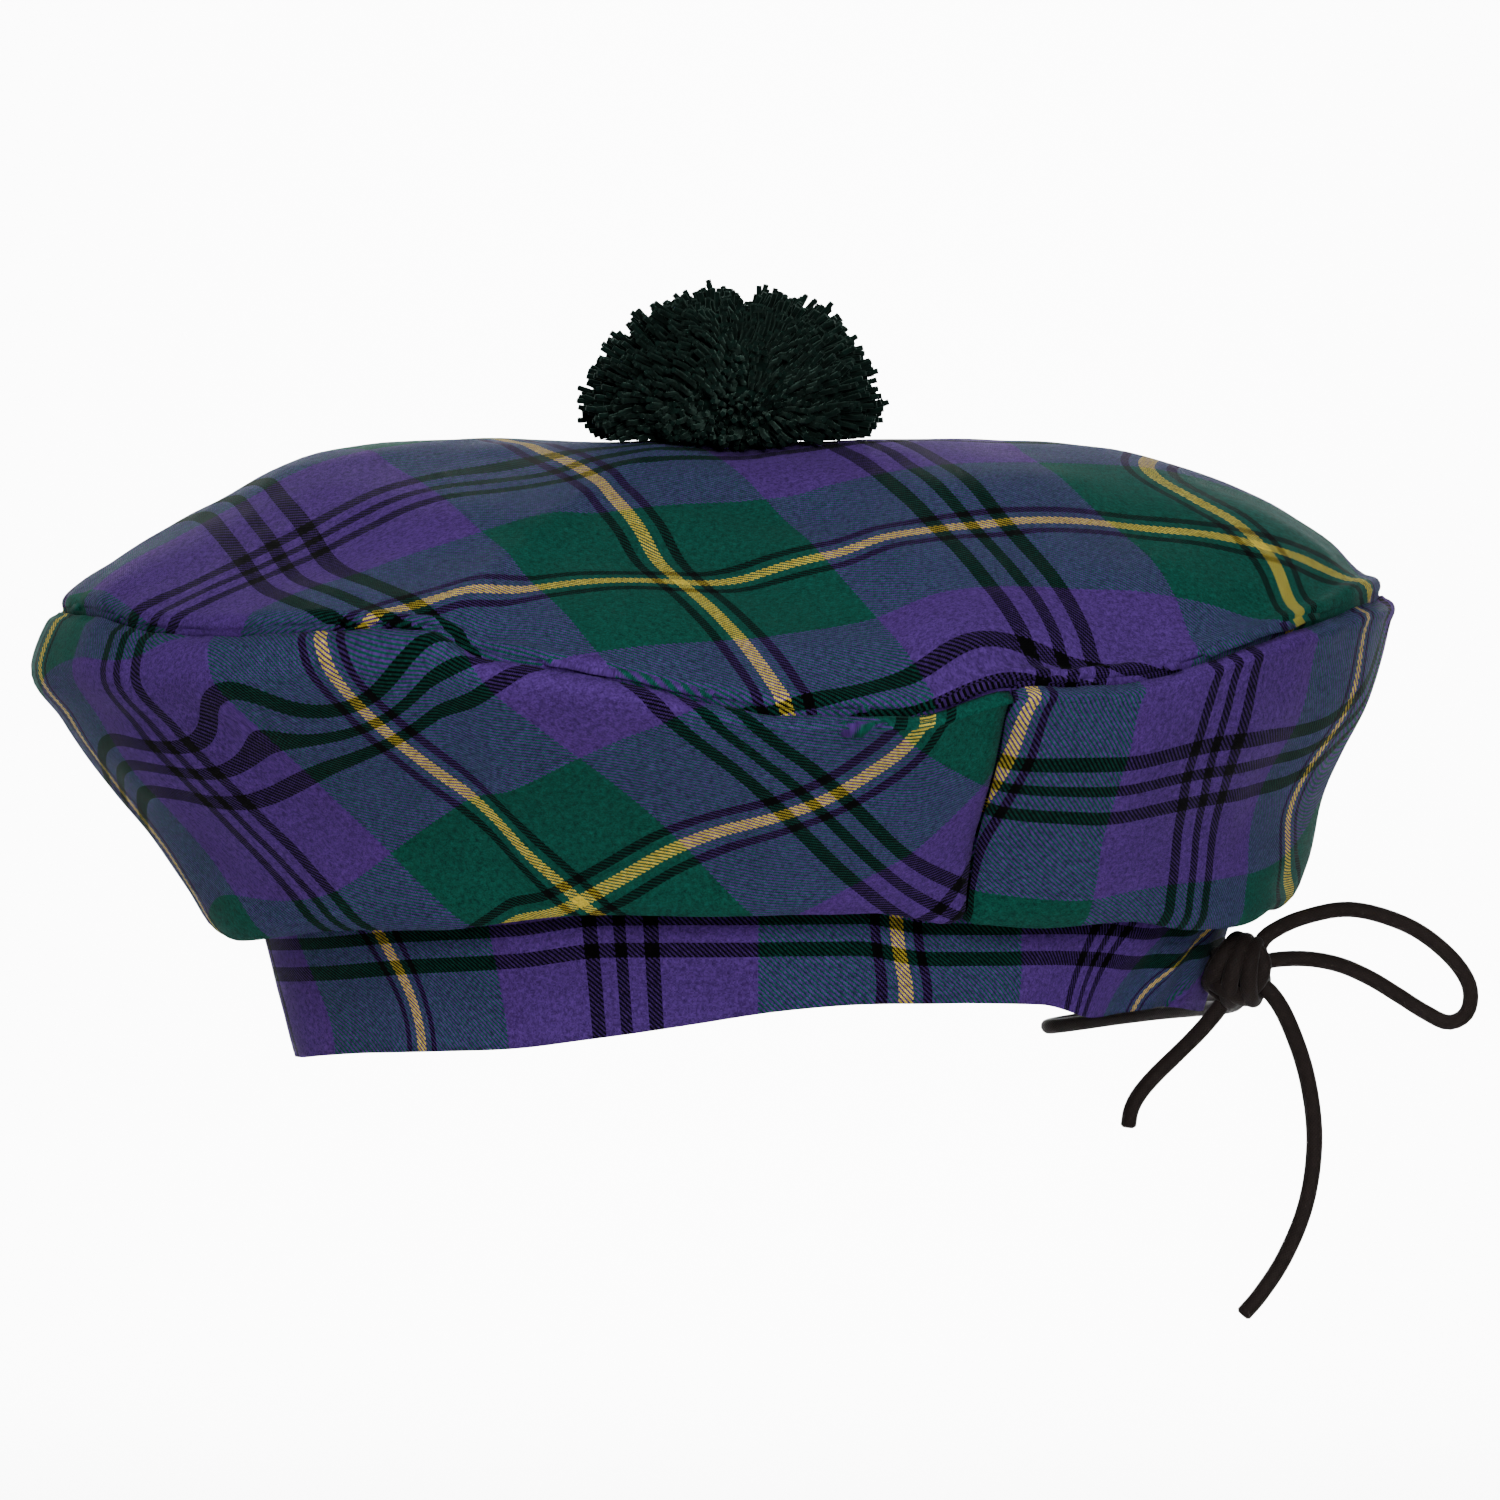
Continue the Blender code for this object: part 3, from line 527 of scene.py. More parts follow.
def band_row(angles, share):
    """One row of the headband's outer face, from its top seam at 0 to its hem at 1."""
    lowest = FOLD_HEIGHT * FOLD_WAVES[0][1] - HEM_DROP
    heights = lowest + HEM_DROP * smooth(HEM_WAVES, angles, around=True)
    hem = on_ring(angles, HEM_LENGTH, HEM_BREADTH, 0.0, heights)
    gather = np.zeros(len(angles))
    for top, low, width, depth in BAND_FOLDS:
        away = turned_from(angles, top + (low - top) * share)
        gather += depth * MM * np.exp(-(away / width) ** 2)
    level = FOLD_START + (1.0 - FOLD_START) * share
    gather = outwards(angles) * (gather * level)[:, None]
    return band_top(angles) * (1.0 - share) + hem * share + gather


def crown_columns(angles):
    """The crown's sections from its middle over the rim to the edge turned in behind the seam,
    and the way down over the seam."""
    rows = [crown_row(angles, section) for section in CROWN_SECTIONS]
    rim = rim_points(angles)
    down = unit(panel_row(angles, PANEL_SECTIONS[0]) - rows[-1])
    out = unit(np.cross(down, rim_points(angles + 1.0) - rim_points(angles - 1.0)))
    rows += [rim - down * SEAM_LIP, rim]
    rows += [rim + down * reach - out * depth for reach, depth in TURNED_EDGE]
    return np.stack(rows, axis=1), down


def panel_columns(angles):
    """The under crown's sections from the rim seam to the band's seam."""
    down = crown_columns(angles)[1]
    rim = rim_points(angles)
    rows = [rim + down * SEAM_GAP, rim + down * (SEAM_GAP + SEAM_LIP)]
    rows += [panel_row(leaned(angles, section[0]), section) for section in PANEL_SECTIONS]
    low = leaned(angles, 1.0)
    out = outwards(low)
    up = np.array([0.0, 0.0, 1.0])
    heart = fold_points(low) - out * FOLD_ROUND + up * FOLD_ROUND
    for degrees in FOLD_TURN:
        turn = math.radians(degrees)
        rows.append(heart + (out * math.cos(turn) + up * math.sin(turn)) * FOLD_ROUND)
    wall_up = unit(band_row(low, 0.0) - band_row(low, 0.5))
    seat = band_top(low) + wall_up * SEAM_GAP
    return np.stack(rows + [seat + out * FOLD_ROUND, seat], axis=1)


def refine(columns, counts):
    """Draws a smooth curve through each column's points, with some steps in each span."""
    spans = np.linalg.norm(np.diff(columns, axis=1), axis=-1).mean(axis=0)[None, :, None]
    steep = np.diff(columns, axis=1) / spans
    inner = steep[:, :-1] * spans[:, 1:] + steep[:, 1:] * spans[:, :-1]
    inner = inner / (spans[:, :-1] + spans[:, 1:])
    slopes = np.concatenate([steep[:, :1], inner, steep[:, -1:]], axis=1)
    rows = []
    for i, count in enumerate(counts):
        for step in range(count):
            rows.append(bend(columns[:, i], columns[:, i + 1], slopes[:, i], slopes[:, i + 1],
                             spans[:, i], step / count))
    return np.stack(rows + [columns[:, -1]], axis=1)


def headings(points, closed):
    """Which way a line or the rows of a grid run at each of their points."""
    if closed:
        return np.roll(points, -1, axis=0) - np.roll(points, 1, axis=0)
    return np.gradient(points, axis=0)


def grid_normals(points, closed):
    """The outward directions of a grid of points."""
    normals = np.cross(np.gradient(points, axis=1), headings(points, closed))
    return normals / np.maximum(np.linalg.norm(normals, axis=-1, keepdims=True), 1e-12)


def run_lengths(points):
    """How far along the cloth each point lies from its column's start."""
    steps = np.linalg.norm(np.diff(points, axis=1), axis=-1)
    return np.concatenate([np.zeros((len(points), 1)), np.cumsum(steps, axis=1)], axis=1)


def line_lengths(points):
    """How far along a line each of its points lies from its start."""
    return run_lengths(points[None])[0]


def soft_noise(points, size, seed):
    """Smooth chance values about zero, of a given size of lump, over a grid of points."""
    shift = Vector((seed * 3.1, seed * 1.7, seed * 2.3))
    flat = points.reshape(-1, 3) / size
    values = [noise.noise(Vector(point) + shift) for point in flat]
    return np.array(values).reshape(points.shape[:2])


def soft_lumps(points, rows):
    """The height of the cloth's soft lumps, which a table gives."""
    return sum(soft_noise(points, size, seed) * height for size, height, seed in rows)


def rim_puckers(points, angles, to_rim):
    """Small gathers that run up to the rim seam."""
    turn = np.radians(angles[:, None]) * PUCKER_COUNT + 2.0 * soft_noise(points, 0.020, 3)
    return np.sin(turn) * PUCKER_HEIGHT * np.exp(-to_rim / PUCKER_REACH)


def rolled_in(depth, distance):
    """How deep the cloth rolls in at a distance from its seam."""
    return depth * np.exp(-(distance / SEAM_ROLL) ** 2)


def unroll_cone(points, runs):
    """Lays the under crown out flat, as the fan that a cone unrolls to."""
    rim_reach = np.linalg.norm(points[:, 0, :2], axis=1).mean()
    fold_reach = np.linalg.norm(points[:, FOLD_ROW, :2], axis=1).mean()
    slant = runs[:, FOLD_ROW].mean()
    outer = slant * rim_reach / (rim_reach - fold_reach)
    around = line_lengths(points[:, FOLD_ROW // 2])
    fan = (around - around[len(around) // 2])[:, None] / (outer - slant / 2.0)
    far = outer - runs
    return np.stack([far * np.sin(fan), far * np.cos(fan)], axis=-1)


def lay_cloth(flat, runs, angles, sett, cut, pulls):
    """Turns places on the flat cloth into places on the tartan, whose yellow lines cross at 0."""
    angle, run, turn, stretch, along_spot, across_spot = cut
    column = int(np.argmin(np.abs(turned_from(angles, angle))))
    column = min(max(column, 1), len(angles) - 2)
    spots = []
    for i in (column - 1, column, column + 1):
        spots.append([np.interp(run * MM, runs[i], flat[i, :, k]) for k in (0, 1)])
    spots = np.array(spots)
    level = spots[2] - spots[0]
    lean = math.atan2(level[1], level[0]) + math.radians(turn)
    away = (flat - spots[1]) / stretch
    along = away[..., 0] * math.cos(lean) + away[..., 1] * math.sin(lean) + along_spot * sett
    across = away[..., 1] * math.cos(lean) - away[..., 0] * math.sin(lean) + across_spot * sett
    grid = angles[:, None] + 0.0 * runs
    along = along + bumps(pulls, grid, runs / MM, 4)
    across = across + bumps(pulls, grid, runs / MM, 5)
    return np.stack([along, across], axis=-1)


def mapped_mesh(name, vertices, faces, places):
    """A smooth mesh with each vertex's place in the UV map that its material reads."""
    mesh = bpy.data.meshes.new(name)
    mesh.from_pydata(vertices, [], faces)
    layer = mesh.uv_layers.new(name="cloth")
    corners = np.empty(len(mesh.loops), dtype=int)
    mesh.loops.foreach_get("vertex_index", corners)
    layer.data.foreach_set("uv", np.array(places)[corners].astype(np.float32).ravel())
    mesh.shade_smooth()
    return mesh


def cloth_object(name, points, cloth, closed, settings, middle=None):
    """A cloth wall through a grid of points, with its place on the tartan in a UV map."""
    count, rows = points.shape[:2]
    vertices = points.reshape(-1, 3).tolist()
    places = cloth.reshape(-1, 2)
    faces = []
    for i in range(count if closed else count - 1):
        left, right = i * rows, (i + 1) % count * rows
        for k in range(rows - 1):
            faces.append((left + k, left + k + 1, right + k + 1, right + k))
    if middle is not None:
        vertices.append(middle[0])
        places = np.concatenate([places, [middle[1]]])
        for i in range(count):
            faces.append((count * rows, i * rows, (i + 1) % count * rows))
    mesh = mapped_mesh(name, vertices, faces, places)
    piece = link_piece(name, mesh, tartan_material(settings))
    solid = piece.modifiers.new("wall", "SOLIDIFY")
    solid.thickness = settings.wall
    solid.offset = -1.0
    solid.use_even_offset = False
    solid.use_rim = True
    return piece


def put_in_place(piece, node):
    """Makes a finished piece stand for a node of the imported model."""
    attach(piece, "root")
    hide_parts(node)


def node_at(tree, kind, place, inputs=None, label="", **settings):
    """A node with its settings, and its inputs given as sockets or plain values."""
    node = tree.nodes.new(kind)
    node.location = (place[0] * 200.0, place[1] * -160.0)
    node.label = label
    for name, value in settings.items():
        setattr(node, name, value)
    for name, value in (inputs or {}).items():
        if isinstance(value, bpy.types.NodeSocket):
            tree.links.new(value, node.inputs[name])
        else:
            node.inputs[name].default_value = value
    return node


def math_node(tree, operation, place, *values):
    """A Math node fed by sockets or plain numbers."""
    inputs = dict(enumerate(values))
    return node_at(tree, "ShaderNodeMath", place, inputs, operation=operation).outputs[0]


def vector_node(tree, operation, place, inputs, label):
    return node_at(tree, "ShaderNodeVectorMath", place, inputs, label, operation=operation).outputs


def mix_node(tree, place, factor, first, second, blend=None):
    """A Mix node for colours where a blend is named, and otherwise for numbers."""
    if blend is None:
        return node_at(tree, "ShaderNodeMix", place, {0: factor, 2: first, 3: second}).outputs[0]
    inputs = {0: factor, 6: first, 7: second}
    node = node_at(tree, "ShaderNodeMix", place, inputs, data_type="RGBA", blend_type=blend)
    return node.outputs[2]


def noise_node(tree, place, coordinates, scale, detail, label=""):
    inputs = {"Vector": coordinates, "Scale": scale, "Detail": detail}
    return node_at(tree, "ShaderNodeTexNoise", place, inputs, label).outputs["Fac"]


def ramp_node(tree, place, factor, stops, interpolation="LINEAR"):
    """A colour ramp with stops of position and colour."""
    ramp = node_at(tree, "ShaderNodeValToRGB", place, {0: factor})
    ramp.color_ramp.interpolation = interpolation
    elements = ramp.color_ramp.elements
    while len(elements) < len(stops):
        elements.new(0.5)
    for element, (position, colour) in zip(elements, stops):
        element.position = position
        element.color = colour
    return ramp.outputs


def add_bump(tree, place, height, strength, distance, shader):
    """Raises a material's surface by a height."""
    inputs = {"Height": height, "Strength": strength, "Distance": distance}
    bump = node_at(tree, "ShaderNodeBump", place, inputs)
    tree.links.new(bump.outputs[0], shader.inputs["Normal"])


def new_material(name):
    """A node material with its output and a Principled shader in the material's finish."""
    material = bpy.data.materials.new(name)
    material.use_nodes = True
    tree = material.node_tree
    tree.nodes.clear()
    roughness, specular, sheen, sheen_roughness, tint = FINISHES[name]
    shader = node_at(tree, "ShaderNodeBsdfPrincipled", (6, 0), {
        "Roughness": roughness, "Specular IOR Level": specular, "Sheen Weight": sheen,
        "Sheen Roughness": sheen_roughness, "Sheen Tint": (*tint, 1.0)})
    node_at(tree, "ShaderNodeOutputMaterial", (8, 0), {0: shader.outputs[0]})
    return material, tree, shader


def object_places(tree, place):
    return node_at(tree, "ShaderNodeTexCoord", place).outputs["Object"]


def cloth_places(tree, column):
    """The places that a piece's UV map gives, whole and in two parts."""
    places = node_at(tree, "ShaderNodeUVMap", (column, 0), uv_map="cloth").outputs[0]
    return places, node_at(tree, "ShaderNodeSeparateXYZ", (column + 1, 0), {0: places}).outputs


def stripe_colour(tree, place, thread_middle, sett, colours):
    """The colour of a thread from its place in the sett, and how much light it lets through."""
    half = sett / 2.0
    turned = math_node(tree, "PINGPONG", place, thread_middle, half)
    share = math_node(tree, "DIVIDE", (place[0] + 1, place[1]), turned, half)
    stops = []
    for position, name in STRIPES:
        stops.append((position, (*colours[name], BLACK_COVER if name == "black" else 1.0)))
    return ramp_node(tree, (place[0] + 2, place[1]), share, stops, "CONSTANT")


def tartan_material(settings):
    """Worsted tartan in a two by two twill, woven from the threads' own colours."""
    if "tartan_cloth" in bpy.data.materials:
        return bpy.data.materials["tartan_cloth"]
    material, tree, shader = new_material("tartan_cloth")
    colours = {name: getattr(settings, name) for name in ("violet", "green", "black", "yellow")}
    place, parts = cloth_places(tree, -6)
    thread = settings.thread
    threads, numbers, colour_of = [], [], []
    for row in range(2):
        threads.append(math_node(tree, "DIVIDE", (-4, row * 2), parts[row], thread))
        numbers.append(math_node(tree, "FLOOR", (-3, row * 2), threads[row]))
        middle = math_node(tree, "MULTIPLY_ADD", (-2, row * 2), numbers[row], thread, thread / 2.0)
        colour_of.append(stripe_colour(tree, (-1, row * 2), middle, settings.sett, colours))
    steps = math_node(tree, "ADD", (-2, 4), *numbers)
    turn = math_node(tree, "FLOORED_MODULO", (-1, 4), steps, 4.0)
    warp_up = math_node(tree, "LESS_THAN", (0, 4), turn, 1.5)
    weave = mix_node(tree, (3, 1), warp_up, colour_of[1]["Color"], colour_of[0]["Color"], "MIX")
    light = math_node(tree, "MULTIPLY", (3, 3), colour_of[0]["Alpha"], colour_of[1]["Alpha"])
    chance = noise_node(tree, (1, 6), place, *THREAD_GRAIN, "thread shade")
    broad = noise_node(tree, (1, 8), place, *WEAR_GRAIN, "wear")
    cell = node_at(tree, "ShaderNodeCombineXYZ", (-1, 6), dict(enumerate(numbers)))
    stitch = node_at(tree, "ShaderNodeTexWhiteNoise", (0, 6), {"Vector": cell.outputs[0]},
                     "each crossing of threads", noise_dimensions="2D").outputs["Value"]
    fleck = math_node(tree, "MULTIPLY_ADD", (1, 5), stitch, *CROSSING_SHADE)
    shade = math_node(tree, "MULTIPLY_ADD", (2, 6), chance, THREAD_SHADE, fleck)
    lighter = math_node(tree, "MULTIPLY_ADD", (2, 8), broad, *WEAR_SHADE)
    worn = math_node(tree, "MULTIPLY", (3, 6), shade, lighter)
    value = math_node(tree, "MULTIPLY", (3, 5), worn, light)
    wool = mix_node(tree, (4, 2), 1.0, weave, value, "MULTIPLY")
    tree.links.new(wool, shader.inputs["Base Color"])
    waves = []
    for row in range(2):
        turned = math_node(tree, "MULTIPLY", (0, 10 + row), threads[row], 2.0 * math.pi)
        waves.append(math_node(tree, "COSINE", (1, 10 + row), turned))
    over = mix_node(tree, (3, 10), warp_up, waves[1], waves[0])
    relief = math_node(tree, "MULTIPLY_ADD", (4, 10), over, -0.5, chance)
    add_bump(tree, (5, 8), relief, *CLOTH_RELIEF, shader)
    return material


def pompom_material(settings):
    """Dark green wool yarn of random tone, with painted highlight where its fibres stand out and
    painted shade in the hollows between them.
    """
    material, tree, shader = new_material("pompom_yarn")
    place = object_places(tree, (-2, 0))
    chance = noise_node(tree, (-1, 0), place, *STRAND_GRAIN, "strand shade")
    stops = []
    for position, lightness in STRAND_TONE_AND_PAINTED_LIGHT:
        stops.append((position, (*(lightness * part for part in settings.wool), 1.0)))
    # Painted light: the grain that raises the bump also lightens the wool where it stands out and
    # darkens it in the hollows
    wool = ramp_node(tree, (1, 0), chance, stops)
    tree.links.new(wool[0], shader.inputs["Base Color"])
    add_bump(tree, (4, 3), chance, *STRAND_RELIEF, shader)
    return material


def cord_material(settings):
    """Smooth braided cord: fine slanted strands across its length with painted shade in the grooves
    between them, and a soft sheen.
    """
    if "braided_cord" in bpy.data.materials:
        return bpy.data.materials["braided_cord"]
    material, tree, shader = new_material("braided_cord")
    parts = cloth_places(tree, -5)[1]
    waves = []
    for row, slant in enumerate((1.0, -1.0)):
        run = 2.0 * math.pi / BRAID_PITCH
        lap = slant * 2.0 * math.pi * BRAID_STRANDS
        along = math_node(tree, "MULTIPLY", (-3, row * 2), parts[0], run)
        around = math_node(tree, "MULTIPLY", (-3, row * 2 + 1), parts[1], lap)
        total = math_node(tree, "ADD", (-2, row * 2), along, around)
        wave = math_node(tree, "SINE", (-1, row * 2), total)
        waves.append(math_node(tree, "ABSOLUTE", (0, row * 2), wave))
    braid = math_node(tree, "MAXIMUM", (1, 1), *waves)
    chance = noise_node(tree, (0, 5), object_places(tree, (-1, 5)), *FIBRE_GRAIN, "fibres")
    # Painted shade: the cord's colour is darker in the braid's grooves and lighter on the strands'
    # crests, where the bump is raised
    value = math_node(tree, "MULTIPLY_ADD", (2, 2), braid, 0.5, 0.45)
    fleck = math_node(tree, "MULTIPLY_ADD", (2, 4), chance, 0.6, 0.7)
    total = math_node(tree, "MULTIPLY", (3, 3), value, fleck)
    colour = mix_node(tree, (4, 1), 1.0, (*settings.colour, 1.0), total, "MULTIPLY")
    tree.links.new(colour, shader.inputs["Base Color"])
    add_bump(tree, (5, 4), braid, *BRAID_RELIEF, shader)
    return material


def stage_material():
    """Plain pale floor and wall."""
    material, tree, shader = new_material("studio_white")
    grain = noise_node(tree, (3, 1), object_places(tree, (2, 1)), *WALL_GRAIN)
    stops = [(position, (pale, pale, pale, 1.0)) for position, pale in enumerate(WALL_PALE)]
    white = ramp_node(tree, (4, 1), grain, stops)
    tree.links.new(white[0], shader.inputs["Base Color"])
    return material


def along_route(route, step):
    """Points at even steps on a smooth curve through a route's own points."""
    points = np.array(route) * MM
    before, after = 2.0 * points[0] - points[1], 2.0 * points[-1] - points[-2]
    points = np.concatenate([[before], points, [after]])
    fine = []
    for i in range(1, len(points) - 2):
        before, start, end, after = points[i - 1:i + 3]
        for k in range(24):
            t = k / 24.0
            fine.append(0.5 * (2.0 * start + (end - before) * t
                        + (2.0 * before - 5.0 * start + 4.0 * end - after) * t * t
                        + (3.0 * start - before - 3.0 * end + after) * t ** 3))
    fine = np.array(fine + [points[-2]])
    lengths = line_lengths(fine)
    count = max(6, round(lengths[-1] / step))
    targets = np.linspace(0.0, lengths[-1], count + 1)
    spaced = np.stack([np.interp(targets, lengths, fine[:, k]) for k in range(3)], axis=1)
    return spaced, lengths[-1]


def tucked_in(route, both_ends):
    """The route with its end at the knot carried on into the knot."""
    middle = (KNOT_LOW + KNOT_HIGH) / 2.0 / MM
    points = [Vector(point) for point in route]
    points.insert(0, points[0] + (middle - points[0]).normalized() * KNOT_TUCK)
    if both_ends:
        points.append(points[-1] + (middle - points[-1]).normalized() * KNOT_TUCK)
    return points


def tube_mesh(name, points, radius, sides=12, closed=False, flatten=0.0, twist=0.0):
    """A cord through points, oval where flattened, turning with twist, with rounded cut ends."""
    count = len(points)
    ahead = unit(headings(points, closed))
    side = unit(np.cross(ahead[0], np.array([0.0, 1.0, 0.0])))
    vertices, places, faces = [], [], []
    run = 0.0
    for i in range(count):
        side = unit(side - ahead[i] * np.dot(side, ahead[i]))
        other = np.cross(ahead[i], side)
        turn = twist * i / count
        run += 0.0 if i == 0 else np.linalg.norm(points[i] - points[i - 1])
        for k in range(sides):
            around = 2.0 * math.pi * k / sides
            wide = radius * (1.0 + flatten) * math.cos(around)
            thin = radius * (1.0 - flatten) * math.sin(around)
            across = wide * math.cos(turn) - thin * math.sin(turn)
            up = wide * math.sin(turn) + thin * math.cos(turn)
            vertices.append(points[i] + side * across + other * up)
            places.append((run, k / sides))
    for i in range(count if closed else count - 1):
        start, end = i * sides, (i + 1) % count * sides
        for k in range(sides):
            beside = (k + 1) % sides
            faces.append((start + k, start + beside, end + beside, end + k))
    for ring, way in () if closed else ((0, -1), (count - 1, 1)):
        heart = points[ring]
        base = ring * sides
        inner = len(vertices)
        for k in range(sides):
            spoke = vertices[base + k] - heart
            vertices.append(heart + spoke * END_RING[0] + ahead[ring] * way * radius * END_RING[1])
            places.append((places[base][0] + way * radius * 0.4, k / sides))
        tip = len(vertices)
        vertices.append(heart + ahead[ring] * way * radius * END_REACH)
        places.append((places[base][0] + way * radius, 0.5))
        for k in range(sides):
            beside = (k + 1) % sides
            quad = (base + k, base + beside, inner + beside, inner + k)
            cap = (inner + k, inner + beside, tip)
            faces += [quad[::way], cap[::way]]
    return mapped_mesh(name, [tuple(vertex) for vertex in vertices], faces, places)


def link_piece(name, mesh, material):
    mesh.materials.append(material)
    piece = bpy.data.objects.new(name, mesh)
    bpy.context.scene.collection.objects.link(piece)
    return piece


def bow_knot(settings):
    """The bow's knot: turns of cord drawn tight over each other."""
    middle = (KNOT_LOW + KNOT_HIGH) / 2.0
    size = KNOT_HIGH - KNOT_LOW
    angle = np.array([KNOT_ANGLE])
    up = Vector(unit(band_row(angle, 0.0) - band_row(angle, 0.5))[0])
    level = Vector(outwards(angle)[0])
    away = (level - up * level.dot(up)).normalized()
    turn = Matrix((away, up.cross(away), up)).transposed()
    radius = settings.diameter / 2.0
    half = Vector(size[k] * KNOT_HALF[k] for k in range(3))
    shells = bmesh.new()
    for axis, tilt, place, share in KNOT_TURNS:
        first, second = (k for k in range(3) if k != axis)
        points = []
        for i in range(KNOT_STEPS):
            around = 2.0 * math.pi * i / KNOT_STEPS
            point = Vector((0.0, 0.0, 0.0))
            point[first] = math.cos(around) * (half[first] - radius)
            point[second] = math.sin(around) * (half[second] - radius)
            point = point * share
            point[axis] += place * radius
            point = Matrix.Rotation(math.radians(tilt), 3, "Y") @ point
            points.append(np.array(middle + turn @ point))
        mesh = tube_mesh("turn", np.array(points), radius * 1.05, KNOT_SIDES, True, KNOT_SQUASH)
        shells.from_mesh(mesh)
        bpy.data.meshes.remove(mesh)
    core = bmesh.ops.create_uvsphere(shells, u_segments=20, v_segments=12, radius=1.0)["verts"]
    for vertex in core:
        local = Vector(vertex.co[k] * half[k] for k in range(3)) * KNOT_CORE
        vertex.co = middle + turn @ local
    mesh = bpy.data.meshes.new("bow_knot")
    shells.to_mesh(mesh)
    shells.free()
    mesh.shade_smooth()
    return link_piece("bow_knot", mesh, cord_material(settings))


def pompom_envelope(fineness):
    """The outline that the pompom's strands reach: a dome, widest near its foot, with a parting."""
    wide = (POMPOM_HIGH.x - POMPOM_LOW.x) / 2.0 + POMPOM_FUZZ
    high = POMPOM_HIGH.z - POMPOM_LOW.z + POMPOM_FUZZ
    waist = POMPOM_WAIST
    heart = Vector(((POMPOM_HIGH.x + POMPOM_LOW.x) / 2.0,
                    (POMPOM_HIGH.y + POMPOM_LOW.y) / 2.0, POMPOM_LOW.z))
    shape = bmesh.new()
    bmesh.ops.create_icosphere(shape, subdivisions=fineness, radius=1.0)
    for vertex in shape.verts:
        way = vertex.co.normalized()
        reach = math.hypot(way.x, way.y)
        level = waist + way.z * (waist + 0.02 if way.z < 0.0 else 1.0 - waist)
        across = wide * (reach ** POMPOM_TUCK if way.z < 0.0 and reach > 0.1 else 1.0)
        parting = math.exp(-((way.x - PARTING_PLACE) / PARTING_WIDTH) ** 2) * max(0.0, way.z) ** 3
        lump = 1.0
        for fine, share in POMPOM_LUMPS:
            lump += share * noise.noise(way * fine)
        lump -= PARTING_DEPTH * parting
        place = Vector((way.x * across * lump, way.y * across * lump, level * high * lump))
        vertex.co = heart + place
    mesh = bpy.data.meshes.new("pompom_envelope")
    shape.to_mesh(mesh)
    shape.free()
    return mesh, heart + Vector((0.0, 0.0, waist * high))


